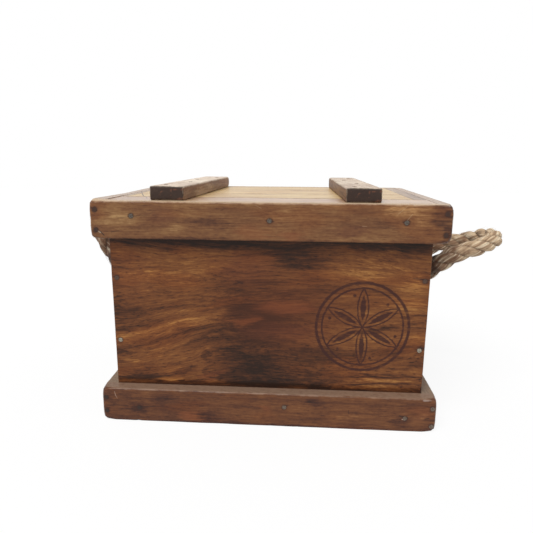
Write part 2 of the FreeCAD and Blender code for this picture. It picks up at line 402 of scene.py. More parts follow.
def carried_frames(line):
    """For each point of a line its direction and one side direction, without any twist of their own."""
    frames = []
    ahead_of = [(after - before).normalized() for before, after in zip(line, line[1:])]
    ahead_of.append(ahead_of[-1])
    side = ahead_of[0].cross(Vector((0.1, 0.3, 1.0))).normalized()
    for index, place in enumerate(line):
        tangent = ahead_of[index] if index == 0 else (ahead_of[index - 1] + ahead_of[index]).normalized()
        side = (side - tangent * side.dot(tangent)).normalized()
        frames.append((place, tangent, side))
    return frames


def strand_line(frames, step, start_turn, seed):
    """The line of one strand, wound right-handed round the rope's own line, with the direction outwards."""
    line = []
    for index, (place, tangent, side) in enumerate(frames):
        along = index * step
        turn = start_turn + math.tau * along / lay_length
        out = side * math.cos(turn) + tangent.cross(side) * math.sin(turn)
        stray = noise.noise(Vector((along / strand_stray_length, seed, 0))) * strand_stray
        line.append((place + out * (strand_offset + stray), out))
    return line


def rope_mesh(name, points, seed, size_at):
    """Three ribbed strands round one route, and the route's own line and length."""
    line, length = smooth_line(points, ring_step)
    step = length / (len(line) - 1)
    frames = carried_frames(line)
    sizes = [size_at(index / (len(frames) - 1)) for index in range(len(frames))]
    vertices, faces, lay, crests = [], [], [], []
    for strand in range(strand_count):
        centres = strand_line(frames, step, math.tau * strand / strand_count + seed, strand * 7.3 + seed)
        first = len(vertices)
        for index, (centre, out) in enumerate(centres):
            centre = line[index] + (centre - line[index]) * sizes[index]
            before = centres[max(index - 1, 0)][0]
            after = centres[min(index + 1, len(centres) - 1)][0]
            forward = (after - before).normalized()
            outward = (out - forward * out.dot(forward)).normalized()
            across = forward.cross(outward)
            along = index * step
            swell = noise.noise(Vector((along / strand_swell_length, strand * 3.1, seed)))
            for side in range(strand_sides):
                turn = math.tau * side / strand_sides
                yarn_turn = turn + math.tau * along / yarn_lay
                round_yarns = (math.cos(yarn_turn), math.sin(yarn_turn))
                rib = abs(math.sin(yarn_turn * yarn_count / 2))
                bump = noise.noise(Vector((round_yarns[0] * 2.2, round_yarns[1] * 2.2, along / yarn_bump_length)))
                radius = strand_radius * sizes[index] * (1 + strand_swell_share * swell)
                radius *= 1 + yarn_depth_share * (rib - 0.6) + yarn_bump_share * bump
                vertices.append(centre + (outward * math.cos(turn) + across * math.sin(turn)) * radius)
                lay.append((along, round_yarns[0] * radius, round_yarns[1] * radius + strand * 0.1))
                crests.append(0.5 + 0.5 * math.cos(turn) * (0.75 + 0.25 * rib))
        rings = len(centres)
        for ring in range(rings - 1):
            for side in range(strand_sides):
                a = first + ring * strand_sides + side
                b = first + ring * strand_sides + (side + 1) % strand_sides
                faces.append((a, b, b + strand_sides, a + strand_sides))
        last = first + (rings - 1) * strand_sides
        faces.append(tuple(first + side for side in range(strand_sides))[::-1])
        faces.append(tuple(last + side for side in range(strand_sides)))
    mesh = bpy.data.meshes.new(name)
    mesh.from_pydata(vertices, [], faces)
    mesh.attributes.new("lay", "FLOAT_VECTOR", "POINT").data.foreach_set("vector", [x for v in lay for x in v])
    mesh.attributes.new("crest", "FLOAT", "POINT").data.foreach_set("value", crests)
    mesh.polygons.foreach_set("use_smooth", [True] * len(mesh.polygons))
    mesh.update()
    piece = bpy.data.objects.new(name, mesh)
    bpy.context.scene.collection.objects.link(piece)
    return piece, line, length


fibre_root = 10.2 * mm
hair_radius = 0.13 * mm
hair_joints = 6
hair_corners = 3
rope_side = Vector((0.3, 0.2, 1.0))


def add_fibres(piece, line, count, seed, most_lift, size=1.0):
    """Loose fibres that have worked out of the rope, as thin three-sided hairs in the same mesh."""
    draw = random.Random(seed)
    source = piece.data
    base = len(source.vertices)
    made = bmesh.new()
    made.from_mesh(source)
    lay_layer = made.verts.layers.float_vector["lay"]
    crest_layer = made.verts.layers.float["crest"]
    made.verts.ensure_lookup_table()
    for hair in range(count):
        root = draw.randrange(6, len(line) - 26)
        sweep = draw.choice((-1, 1))
        turn = draw.uniform(0, math.tau)
        curl = draw.uniform(-0.8, 0.8)
        reach = draw.randrange(5, 13)
        lift = draw.uniform(0.4, 1.0) * most_lift
        rings = []
        for joint in range(hair_joints):
            share = joint / (hair_joints - 1)
            index = min(max(root + round(sweep * reach * share), 0), len(line) - 2)
            forward = (line[index + 1] - line[index]).normalized()
            out = (rope_side - forward * rope_side.dot(forward)).normalized()
            out = Matrix.Rotation(turn + curl * share, 3, forward) @ out
            place = line[index] + out * (fibre_root * size + lift * math.sin(share * 2.0))
            around = forward.cross(out)
            thin = hair_radius * (1 - 0.6 * share)
            ring = []
            for corner in range(hair_corners):
                angle = math.tau * corner / hair_corners
                vertex = made.verts.new(place + (out * math.cos(angle) + around * math.sin(angle)) * thin)
                vertex[lay_layer] = (reach * ring_step * share, hair * mm, 0.0)
                vertex[crest_layer] = 1.0
                ring.append(vertex)
            rings.append(ring)
        for lower, upper in zip(rings, rings[1:]):
            for corner in range(hair_corners):
                following = (corner + 1) % hair_corners
                made.faces.new((lower[corner], lower[following], upper[following], upper[corner]))
        made.faces.new(rings[0][::-1])
        made.faces.new(rings[-1])
    for face in made.faces:
        face.smooth = True
    made.to_mesh(source)
    made.free()
    print(piece.name, "has", len(source.vertices) - base, "points of loose fibre")


# %% Two handles
slack_share = 0.12
fibres_in_loop = 190
fibre_lift = 3.2 * mm


def slacker_near_wall(share):
    """A loop that has opened up a little near the wall. share is how far along the rope it lies."""
    from_end = 0.5 - abs(share - 0.5)
    return 1 + slack_share * max(0, 1 - abs(from_end - 0.16) / 0.1)


def even_all_along(share):
    return 1.0


loops = {
    "left_handle": (-1, left_route, 2.2, even_all_along),
    "right_handle": (1, right_route, 0.4, slacker_near_wall),
}
handles = {}
for body, (side, route, seed, size_at) in loops.items():
    points = whole_route(route, hinge_at[body], side)
    piece, line, length = rope_mesh(body + "_rope", points, seed, size_at)
    add_fibres(piece, line, fibres_in_loop, 5 + side, fibre_lift)
    handles[body] = (piece, line, length, side)
    print(piece.name, "length, mm:", round(length / mm, 1), "triangles:", 2 * len(piece.data.polygons))

# %% [markdown]
# Inside the box each end of the rope is stopped by a knot pulled up against the wall, with a short frayed tail. The
# knot here is a turn and a third of the rope round its own end, on a route made by a formula: out of the hole, round,
# and back through the middle.

# %% Stopper knots
knot_turn_radius = 15.5 * mm
knot_size = 0.82
knot_turns = 1.3
knot_near = 13 * mm
knot_far = 31 * mm
knot_steps = 13
fibres_in_knot = 30
knot_fibre_lift = 1.5 * mm

# A point of the tail is how far in it lies, how far on round it is in radians, and how far from the hole's middle.
tail_route = ((36, 0.5, 10), (30, 1.6, 5), (36, 2.6, 4), (46, 2.9, 5), (61, 3.0, 6))


def knot_route(side, along, height):
    """From the hole round one turn and back under it, then on as the tail."""
    def spot(inward, turn, out):
        x = side * (wall_inside_x - inward)
        return Vector((x, along + out * math.cos(turn), height + out * math.sin(turn)))

    points = [spot(0, 0, 0), spot(5 * mm, 0, 2 * mm)]
    for step in range(knot_steps):
        share = step / (knot_steps - 1)
        inward = knot_near + (knot_far - knot_near) * share
        points.append(spot(inward, math.tau * knot_turns * share, knot_turn_radius))
    for inward, turn_on, out in tail_route:
        points.append(spot(inward * mm, math.tau * knot_turns + turn_on, out * mm))
    return points


knots = {}
for body, (piece, line, length, side) in handles.items():
    for number, along in enumerate((-rope_spacing / 2, rope_spacing / 2)):
        name = body + "_knot_" + str(number + 1)
        route = knot_route(side, along, hinge_at[body].z)
        knot, knot_line, knot_length = rope_mesh(name, route, number * 1.7, lambda share: knot_size)
        add_fibres(knot, knot_line, fibres_in_knot, 31 + number, knot_fibre_lift, knot_size)
        knots.setdefault(body, []).append(knot)
print("knots:", sum(len(group) for group in knots.values()))

# %% [markdown]
# ## Rope finish
#
# The rope is a pale natural fibre, dirty in the grooves between its strands, where painted shade darkens it further.
# The mesh carries two attributes for this.
# One says how far a point lies along and round its strand, so that the fibres of the texture run with the twist, and
# the other says whether the point is on a crest or down in a groove.

# %% Rope material
def rope_material():
    material, tree, surface = new_material("natural rope")
    lay = put(tree, "Attribute", {}, attribute_name="lay").outputs["Vector"]
    crest = put(tree, "Attribute", {}, attribute_name="crest").outputs["Fac"]
    place = put(tree, "TexCoord", {}).outputs["Object"]
    x, y, _ = parts_of(tree, place)
    fibres = cloud(tree, lay, (70, 1500, 1500), 3, 0.6)
    bundles = cloud(tree, lay, (40, 330, 330), 2, 0.5)
    patches = cloud(tree, place, (50, 50, 50), 3, 0.6)
    behind = ease(tree, y, -0.01, 0.03, 0.0, 0.02)
    # The rope is dirty near the wall. The back legs and the left loop stay dark further out; on the left loop that is
    # painted shade under the rim.
    out_to_left = calc(tree, "SUBTRACT", calc(tree, "SUBTRACT", -0.011, behind), x)
    uneven = weigh(tree, calc(tree, "MAXIMUM", x, out_to_left), patches, 0.12)
    clean_and_lit = ease(tree, calc(tree, "SUBTRACT", uneven, behind), 0.22, 0.285)
    colour = blend(tree, clean_and_lit, paint(124, 92, 70), paint(222, 194, 158))
    stains_and_shade = (
        (bundles, 0.5, 0.64, 0.0, 0.8, (238, 221, 192)),
        (bundles, 0.36, 0.52, 0.65, 0.0, (122, 86, 62)),
        (fibres, 0.48, 0.68, 0.0, 0.6, (104, 74, 56)),
        # Painted shade, over dirt, in the grooves between the strands.
        (crest, 0.32, 0.82, 1.0, 0.0, (76, 49, 38)),
        # Painted shade on the rope close to the wall, under the rim.
        (uneven, 0.205, 0.24, 0.85, 0.0, (64, 45, 37)),
    )
    for value, start, end, low, high, stain in stains_and_shade:
        colour = blend(tree, ease(tree, value, start, end, low, high), colour, paint(*stain))
    height = calc(tree, "ADD", fibres, calc(tree, "MULTIPLY", bundles, 0.8))
    bump = put(tree, "Bump", {"Strength": 1.0, "Distance": 1.0 * mm, "Height": height})
    shader = put(tree, "BsdfPrincipled", {
        "Base Color": colour,
        "Roughness": 0.85,
        "Specular IOR Level": 0.2,
        "Sheen Weight": 0.1,
        "Normal": bump.outputs[0],
    })
    tree.links.new(shader.outputs[0], surface)
    return material


rope_finish = rope_material()
for body, (piece, line, length, side) in handles.items():
    piece.data.materials.append(rope_finish)
    for knot in knots[body]:
        knot.data.materials.append(rope_finish)

# %% [markdown]
# ## Worn boards
#
# A planed board is a box, but every edge that hands touch has been rubbed round, most of all at the corners, with small
# bites where it was knocked. Each board is therefore a cube that is cut into small cells by straight saw lines and then
# sanded: every point that stands outside a rounded box is moved in to it, with a radius that changes from place to
# place. The boards of one ring are sanded to one shared box, so their edges meet as they do on the real, assembled box.

# %% Saw and sand
def deselect_all():
    for item in bpy.context.view_layer.objects:
        item.select_set(False)


def select_edges(piece, wanted):
    """In edit mode, select the edges that pass a test."""
    bpy.ops.mesh.select_all(action="DESELECT")
    cells = bmesh.from_edit_mesh(piece.data)
    for edge in cells.edges:
        if wanted(edge):
            edge.select_set(True)
    bmesh.update_edit_mesh(piece.data)


def runs_along(axis):
    """A test for edges that run along one axis."""
    def test(edge):
        run = edge.verts[1].co - edge.verts[0].co
        return abs(run[axis]) > 0.99 * run.length

    return test


def saw_board(name, low, high, cell, close_lines):
    """A board between two corners, cut into cells. close_lines gives extra cuts near its faces, for each axis."""
    deselect_all()
    bpy.ops.mesh.primitive_cube_add(size=1, location=(low + high) / 2, scale=high - low)
    piece = bpy.context.object
    piece.name = name
    bpy.ops.object.transform_apply(location=True, rotation=False, scale=True)
    bpy.ops.object.mode_set(mode="EDIT")
    bpy.ops.mesh.select_mode(type="EDGE")
    for axis in range(3):
        cuts = round((high[axis] - low[axis]) / cell) - 1
        if cuts > 0:
            select_edges(piece, runs_along(axis))
            bpy.ops.mesh.subdivide(number_cuts=cuts)
    for axis, inset in close_lines:
        place = Vector((0, 0, 0))
        normal = Vector((0, 0, 0))
        place[axis] = low[axis] + inset if inset > 0 else high[axis] + inset
        normal[axis] = 1
        bpy.ops.mesh.select_all(action="SELECT")
        bpy.ops.mesh.bisect(plane_co=place, plane_no=normal)
    bpy.ops.object.mode_set(mode="OBJECT")
    return piece


def sand(piece, low, high, radius_at):
    """Round a board to the box with these corners. radius_at gives the radius wanted at a point."""
    for vertex in piece.data.vertices:
        radius = radius_at(vertex.co)
        core = Vector(min(max(x, a + radius), b - radius) for x, a, b in zip(vertex.co, low, high))
        out = vertex.co - core
        if out.length > radius:
            vertex.co = core + out.normalized() * radius


def wobble(place, size, seed):
    """Smooth noise between about -1 and 1."""
    return noise.noise(place / size + Vector((seed, seed * 1.7, seed * 0.3)))


def dress(piece, node, material):
    """Put a finished board in place of its plain solid."""
    piece.data.materials.append(material)
    deselect_all()
    piece.select_set(True)
    bpy.context.view_layer.objects.active = piece
    bpy.ops.object.shade_smooth_by_angle(angle=math.radians(32))
    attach(piece, frame["nodes"][node]["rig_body"])
    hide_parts(node)


# %% [markdown]
# ## Wood
#
# Pine shows several things at once: growth rings, which are cylinders round the middle of the tree and so make lines
# on the face and arcs on the end of the same board, clouds and long streaks where the stain soaked in unevenly, fine
# fibres, and short dark pores. One group makes all of them from a place in the wood. The grain runs along X in it, and
# a material turns the place first where its board runs another way.

# %% Pine figure
def pine_figure_group():
    inputs = {"Place": "Vector", "Seed": "Float", "Pith": "Vector", "Ring Width": "Float", "Waviness": "Float"}
    outputs = {name: "Float" for name in ("Rings", "Clouds", "Streaks", "Fibres", "Pores", "Mottle", "Hue")}
    group, given, out = new_group("pine figure", inputs, outputs)
    shift = vector_calc(group, "MULTIPLY", given["Seed"], (0.37, 0.53, 0.71))
    place = vector_calc(group, "ADD", given["Place"], shift)
    waviness = wander(group, place, (4, 13, 13), given["Waviness"])
    bent = vector_calc(group, "ADD", given["Place"], waviness)
    from_pith = vector_calc(group, "SUBTRACT", bent, given["Pith"])
    distance = vector_calc(group, "LENGTH", vector_calc(group, "MULTIPLY", from_pith, (0.04, 1, 1)))
    place = vector_calc(group, "ADD", place, waviness)
    clouds = cloud(group, place, (13, 42, 42), 3, 0.55, 0.5)
    phase = calc(group, "DIVIDE", distance, given["Ring Width"])
    phase = calc(group, "ADD", phase, calc(group, "MULTIPLY", clouds, 2.5))
    within = calc(group, "FRACT", phase)
    rings = calc(group, "MULTIPLY", ease(group, within, 0.2, 0.9), ease(group, within, 0.92, 1.0, 1.0, 0.0))
    thick = ease(group, cloud(group, place, (9, 60, 60), 2, 0.5), 0.35, 0.65, 0.1, 1.0)
    elsewhere = vector_calc(group, "ADD", place, (3, 5, 7))
    values = {
        "Rings": calc(group, "MULTIPLY", rings, thick),
        "Clouds": clouds,
        "Streaks": cloud(group, place, (9, 160, 160), 3, 0.55),
        "Fibres": cloud(group, place, (42, 720, 720), 3, 0.6),
        "Pores": ease(group, cloud(group, place, (130, 850, 850), 2, 0.5), 0.56, 0.72),
        "Mottle": cloud(group, place, (170, 330, 330), 3, 0.6),
        "Hue": cloud(group, elsewhere, (11, 34, 34), 2, 0.5),
    }
    for name, value in values.items():
        feed(group, out[name], value)
    return group


pine_figure = pine_figure_group()

# %% [markdown]
# Edges wear by touch. A second group measures how far a place lies from the nearest edge of the board's own box: of
# its three distances to the faces, a point on the surface has one near nothing, and the next smallest is the distance
# to the edge. Noise makes the border of the worn strip uneven.

# %% Edge wear and nail stain
def edge_wear_group():
    inputs = {"Place": "Vector", "Low": "Vector", "High": "Vector", "Width": "Float"}
    group, given, out = new_group("edge wear", inputs, {"Mask": "Float"})
    above = vector_calc(group, "SUBTRACT", given["Place"], given["Low"])
    below = vector_calc(group, "SUBTRACT", given["High"], given["Place"])
    first, second, third = parts_of(group, vector_calc(group, "MINIMUM", above, below))
    less = calc(group, "MINIMUM", first, second)
    more = calc(group, "MAXIMUM", first, second)
    middle = calc(group, "MAXIMUM", less, calc(group, "MINIMUM", more, third))
    rough = cloud(group, given["Place"], (70, 70, 70), 3, 0.6)
    uneven = weigh(group, middle, rough, calc(group, "MULTIPLY", given["Width"], 2.4))
    feed(group, out["Mask"], ease(group, uneven, 0.0, given["Width"], 1.0, 0.0))
    return group


def nail_stain_group():
    inputs = {"Place": "Vector", "Head": "Vector", "Reach": "Float"}
    group, given, out = new_group("nail stain", inputs, {"Mask": "Float"})
    distance = vector_calc(group, "DISTANCE", given["Place"], given["Head"])
    core = calc(group, "MULTIPLY", given["Reach"], 0.35)
    feed(group, out["Mask"], ease(group, distance, core, given["Reach"], 1.0, 0.0))
    return group


def patch_group():
    """An oval patch with a soft border, turned about Y."""
    inputs = {"Place": "Vector", "Centre": "Vector", "Size": "Vector", "Turn": "Float"}
    group, given, out = new_group("stain patch", inputs, {"Mask": "Float"})
    away = vector_calc(group, "SUBTRACT", given["Place"], given["Centre"])
    turned = put(group, "VectorRotate", {"Vector": away, "Angle": given["Turn"]}, rotation_type="Y_AXIS").outputs[0]
    share = vector_calc(group, "DIVIDE", turned, given["Size"])
    feed(group, out["Mask"], ease(group, vector_calc(group, "LENGTH", share), 0.35, 1.2, 1.0, 0.0))
    return group


def scratch_group():
    """A thin mark along the straight line between two points."""
    inputs = {"Place": "Vector", "From": "Vector", "To": "Vector", "Width": "Float"}
    group, given, out = new_group("scratch", inputs, {"Mask": "Float"})
    whole = vector_calc(group, "SUBTRACT", given["To"], given["From"])
    away = vector_calc(group, "SUBTRACT", given["Place"], given["From"])
    along = vector_calc(group, "DOT_PRODUCT", away, whole)
    square = vector_calc(group, "DOT_PRODUCT", whole, whole)
    share = put(group, "Clamp", {0: calc(group, "DIVIDE", along, square)}).outputs[0]
    distance = vector_calc(group, "DISTANCE", away, vector_calc(group, "MULTIPLY", whole, share))
    uneven = weigh(group, distance, cloud(group, given["Place"], (300, 300, 300)), given["Width"])
    core = calc(group, "MULTIPLY", given["Width"], 0.2)
    feed(group, out["Mask"], ease(group, uneven, core, given["Width"], 1.0, 0.0))
    return group


edge_wear = edge_wear_group()
nail_stain = nail_stain_group()
stain_patch = patch_group()
scratch = scratch_group()


widest_head = 8 * mm


def nail_heads(node, axis, side):
    """The middles of a node's nail heads on one face of the box, read from its points."""
    mesh = frame["nodes"][node].data
    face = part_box(node)[0 if side < 0 else 1][axis]
    heads = []
    for vertex in mesh.vertices:
        if abs(vertex.co[axis] - face) < on_face:
            near = [group for group in heads if (group[0] - vertex.co).length < widest_head]
            if near:
                near[0].append(vertex.co.copy())
            else:
                heads.append([vertex.co.copy()])
    return [sum(group, Vector()) / len(group) for group in heads]


# %% [markdown]
# One function then builds every wood of the box. It first adds the figure up to one tone between 0 and 1, and a ramp
# of five stain colours turns the tone into a colour. That keeps a light streak in a dark patch in family with the rest,
# which separate colour mixes don't. What only one board has comes in as layers: functions that get the tone or the
# colour so far and give it back changed.

# %% Wood material
turn_of_grain = {"X": (0, 0, 0), "Y": (0, 0, math.radians(90)), "Z": (0, math.radians(90), 0)}
red_stain = (1.0, 0.78, 0.66, 1.0)


def stain_ramp(tree, tone, colours):
    """The stain colours from darkest to lightest, spread evenly over the tone."""
    node = put(tree, "ValToRGB", {0: tone})
    stops = node.color_ramp.elements
    for step in range(1, len(colours) - 1):
        stops.new(step / (len(colours) - 1))
    for stop, colour in zip(stops, colours):
        stop.color = paint(*colour)
    return node.outputs[0]


def tint(tree, mask, colour, stain):
    """Colour laid over thinly, so that it only darkens: a multiply by the stain where the mask is 1."""
    inputs = {0: mask, 6: colour, 7: stain}
    return put(tree, "Mix", inputs, data_type="RGBA", blend_type="MULTIPLY").outputs[2]


def wood(name, colours, grain, seed, low, high, base=0.5, clouds=1.2, streaks=1.1, rings=0.25, fibres=0.7, pores=0.22,
         mottle=0.5, pith=(0, 0.06, -0.05), ring_width=5.5 * mm, waviness=0.02, wear_width=2.2 * mm, wear=0.5,
         worn=(186, 158, 128), red=0.5, tone_layers=(), colour_layers=(), roughness=0.45, coat=0.45, coat_ior=1.36,
         coat_roughness=0.22, gloss=0.05, bend=None, own_place=None, dust_and_sheen=None):
    """A stained pine, varnished where it has a coat. bend turns the grain aside, own_place names an attribute with
    the place on the loose board, and dust_and_sheen gives a height, a colour and a strength for a pale top face: dust,
    and painted sheen in place of most of the coat."""
    material, tree, surface = new_material(name)
    if own_place:
        place = put(tree, "Attribute", {}, attribute_name=own_place).outputs["Vector"]
    else:
        place = put(tree, "TexCoord", {}).outputs["Object"]
    turned = bend(tree, place) if bend else place
    turn = Vector(turn_of_grain[grain])
    if turn.length:
        turned = put(tree, "Mapping", {"Vector": turned, "Rotation": turn}).outputs[0]
    figure = use_group(tree, pine_figure, {
        "Place": turned, "Seed": seed, "Pith": pith, "Ring Width": ring_width, "Waviness": waviness,
    })
    tone = weigh(tree, base, figure["Clouds"], clouds)
    tone = weigh(tree, tone, figure["Streaks"], streaks)
    for layer in tone_layers:
        tone = layer(tree, place, tone)
    tone = weigh(tree, tone, figure["Fibres"], fibres)
    tone = weigh(tree, tone, figure["Mottle"], mottle)
    tone = calc(tree, "SUBTRACT", tone, calc(tree, "MULTIPLY", figure["Rings"], rings))
    tone = calc(tree, "SUBTRACT", tone, calc(tree, "MULTIPLY", figure["Pores"], pores))
    colour = stain_ramp(tree, tone, colours)
    colour = tint(tree, ease(tree, figure["Hue"], 0.5, 0.66, 0.0, red), colour, red_stain)
    for layer in colour_layers:
        colour = layer(tree, place, colour)
    edges = use_group(tree, edge_wear, {"Place": place, "Low": low, "High": high, "Width": wear_width})["Mask"]
    colour = lay_over(tree, colour, edges, wear, worn)
    shine = coat
    # The top face is laid over with a pale colour, partly dust and partly painted sheen, and keeps less of its coat.
    if dust_and_sheen:
        height, dust_sheen_colour, strength = dust_and_sheen
        grains = calc(tree, "MULTIPLY", ease(tree, figure["Mottle"], 0.3, 0.6, 0.7, 1.0), strength)
        lying = ease(tree, parts_of(tree, place)[2], height - 0.5 * mm, height - 0.1 * mm)
        colour = lay_over(tree, colour, lying, grains, dust_sheen_colour)
        shine = ease(tree, lying, 0.0, 1.0, coat, coat * 0.3)
    dull = ease(tree, figure["Fibres"], 0.3, 0.8, roughness - 0.06, roughness + 0.16)
    relief = calc(tree, "MULTIPLY", figure["Fibres"], -0.5)
    relief = calc(tree, "SUBTRACT", relief, calc(tree, "MULTIPLY", figure["Pores"], 0.5))
    relief = calc(tree, "ADD", relief, calc(tree, "MULTIPLY", figure["Rings"], 0.3))
    bump = put(tree, "Bump", {"Strength": 0.3, "Distance": 0.5 * mm, "Height": relief})
    shader = put(tree, "BsdfPrincipled", {
        "Base Color": colour,
        "Roughness": dull,
        "Specular IOR Level": gloss,
        "Coat Weight": shine,
        "Coat IOR": coat_ior,
        "Coat Roughness": coat_roughness,
        "Normal": bump.outputs[0],
    })
    tree.links.new(shader.outputs[0], surface)
    return material


ring_reach = 5.2 * mm


def nail_stains(heads, reach, tone, strength):
    """A layer: a dark ring round each head, and dark marks where iron has bled into the wood along the grain."""
    def layer(tree, place, colour):
        ragged = wander(tree, place, (120, 260, 260), (0.012, 0.004, 0.004))
        spot = vector_calc(tree, "ADD", place, ragged)
        mask = 0.0
        for head in heads:
            for where, size in ((spot, reach), (place, ring_reach)):
                stain = use_group(tree, nail_stain, {"Place": where, "Head": head, "Reach": size})["Mask"]
                mask = calc(tree, "MAXIMUM", mask, stain)
        return lay_over(tree, colour, mask, strength, tone)

    return layer


# %% [markdown]
# ## Patches and marks
# The stain of this box lies in patches: the front wall is golden at the sides, red-brown in the middle and nearly
# purple low down, and the rim and the plinth have lighter and darker places of their own. A general noise would never
# put them in the right place, so they are named one by one, each with its middle, size and slant. Most of them lift or
# lower the tone. Some of the darker ones are painted shade: under the lid's rim and along the foot of the front wall.
# The rim and the plinth are also darker along their bottom edges. A few patches, like small flames, carry a red of
# their own. Scratches and cracks are short straight lines, and so are a painted highlight on the rim's top edge and a
# painted shade line at the foot of the wall.

# %% Layers of patches and marks
def along_the_grain(tree, place):
    """The place on a front face, shaken so that whatever is drawn there gets streaky borders."""
    broad = wander(tree, place, (14, 40, 60), (0.05, 0, 0.022), 3, 0.6, 0.4)
    fine = wander(tree, place, (22, 40, 260), (0.05, 0, 0.005), 3, 0.6)
    flat = vector_calc(tree, "MULTIPLY", place, (1, 0, 1))
    return vector_calc(tree, "ADD", flat, vector_calc(tree, "ADD", broad, fine))


def patch_mask(tree, spot, x, z, half_width, half_height, rise):
    return use_group(tree, stain_patch, {
        "Place": spot,
        "Centre": (x * mm, 0, z * mm),
        "Size": (half_width * mm, 1, half_height * mm),
        "Turn": math.radians(rise),
    })["Mask"]


def tone_patches(patches):
    """A tone layer of lighter and darker patches: middle X and Z, half width and height in millimetres, rise to the
    right in degrees, change of tone."""
    def layer(tree, place, tone):
        spot = along_the_grain(tree, place)
        for *shape, change in patches:
            tone = calc(tree, "ADD", tone, calc(tree, "MULTIPLY", patch_mask(tree, spot, *shape), change))
        return tone

    return layer


def colour_patches(patches):
    """A colour layer: patches with a strength and a stain in place of the change of tone."""
    def layer(tree, place, colour):
        spot = along_the_grain(tree, place)
        for *shape, strength, stain in patches:
            mask = calc(tree, "MULTIPLY", patch_mask(tree, spot, *shape), strength)
            colour = blend(tree, mask, colour, blend(tree, 0.5, paint(*stain), colour))
        return colour

    return layer


def marks(lines):
    """A colour layer of marks: scratches, cracks, a painted highlight and a painted shade line. Each has two ends as X,
    Y, Z in millimetres, half width, strength and colour.
    """
    def layer(tree, place, colour):
        for start, end, width, strength, stain in lines:
            inputs = {"Place": place, "From": Vector(start) * mm, "To": Vector(end) * mm, "Width": width * mm}
            colour = lay_over(tree, colour, use_group(tree, scratch, inputs)["Mask"], strength, stain)
        return colour

    return layer


# %% Patches of the front wall
front_tones_and_shade = (
    (0, 160, 90, 56, 0, -0.2),
    (0, 132, 34, 16, 0, -0.15),
    (-40, 180, 40, 34, 0, -0.03),
    (10, 52, 90, 10, 0, -0.16),
    # The next six patches darken the top of the wall: a dark stain, and painted shade under the rim of the lid.
    (-8, 243, 120, 18, 0, -0.5),
    (-10, 227, 66, 10, 0, -0.2),
    (-150, 239, 70, 11, -6, -0.5),
    (-96, 235, 50, 8, -5, -0.25),
    (130, 241, 90, 13, -3, -0.45),
    (176, 231, 34, 11, -6, -0.35),
    # Painted shade along the foot of the wall, just above the plinth.
    (0, 47, 260, 6, 0, -0.3),
    (-194, 161, 9, 90, 0, -0.16),
    (-120, 150, 46, 12, 6, -0.12),
    (-80, 122, 34, 12, 14, -0.14),
    (-36, 148, 30, 12, 0, -0.16),
    (-162, 209, 26, 12, 0, -0.08),
    (-115, 210, 30, 12, 0, -0.12),
    (22, 212, 26, 10, 0, -0.12),
    (111, 214, 30, 12, 0, -0.14),
    (23, 185, 30, 12, 0, 0.18),
    (157, 187, 28, 12, 0, -0.1),
    (160, 160, 26, 12, 0, -0.09),
    (-165, 123, 24, 12, 6, -0.08),
    (-118, 125, 30, 12, 6, -0.1),
    (-25, 127, 34, 12, 0, -0.12),
    (-78, 92, 20, 12, 0, 0.2),
    (-80, 69, 20, 10, 0, 0.16),
    (23, 97, 34, 14, 0, 0.05),
    (160, 101, 24, 12, 0, -0.1),
    (66, 68, 28, 12, 0, -0.14),
    (-176, 151, 26, 26, 0, -0.12),
    (-112, 206, 60, 24, 0, 0.1),
    (-122, 90, 34, 22, 10, 0.06),
    (-124, 151, 46, 12, 4, 0.12),
    (-150, 117, 62, 8, 17, 0.22),
    (-84, 137, 40, 7, 16, 0.2),
    (-150, 101, 50, 6, 12, -0.12),
    (-188, 89, 22, 8, 0, -0.36),
    (-168, 76, 28, 3, 0, 0.24),
    (-120, 81, 44, 9, 0, 0.1),
    (-160, 55, 52, 6, 0, -0.32),
    (-120, 52, 18, 3, 0, 0.4),
    (-66, 61, 20, 5, 36, 0.18),
    (-34, 184, 4, 3, 0, -0.6),
    (36, 213, 58, 22, 0, -0.2),
    (-10, 146, 40, 14, 0, -0.2),
    (40, 179, 44, 12, 0, -0.1),
    (-48, 108, 66, 22, 12, -0.1),
    (-44, 82, 84, 34, 14, -0.22),
    (0, 93, 60, 22, 0, -0.24),
    (10, 63, 74, 22, 0, -0.34),
    (60, 91, 36, 18, 0, -0.18),
    (-26, 134, 20, 7, 15, 0.18),
    (26, 155, 40, 7, 0, 0.1),
    (124, 209, 62, 14, -4, 0.2),
    (172, 171, 28, 26, 0, 0.24),
    (150, 190, 50, 12, -5, 0.14),
    (182, 148, 14, 3, 0, -0.3),
    (128, 153, 36, 10, 6, 0.12),
    (136, 127, 64, 5, 12, -0.28),
    (110, 113, 40, 7, 6, 0.1),
    (178, 117, 20, 9, 10, 0.14),
    (130, 91, 66, 8, -4, -0.12),
    (140, 71, 60, 3, 0, 0.16),
    (138, 66, 62, 1.8, 1, -0.3),
    (142, 61, 58, 2.4, 0, 0.24),
    (140, 56, 62, 1.6, 1, -0.34),
    (150, 52, 50, 2.2, 0, 0.2),
)
front_flames = (
    (28, 146, 95, 58, 0, 0.7, (96, 50, 29)),
    (-27, 134, 18, 8, 20, 0.5, (140, 74, 42)),
    (-70, 61, 20, 6, 34, 0.6, (130, 70, 42)),
    (-30, 201, 34, 26, 0, 0.5, (116, 64, 42)),
    (26, 155, 46, 11, 0, 0.6, (132, 70, 42)),
    (20, 121, 60, 14, 0, 0.4, (104, 56, 40)),
    (-122, 53, 22, 4, 0, 0.5, (166, 104, 52)),
    (-170, 191, 34, 44, 0, 0.3, (122, 72, 46)),
)
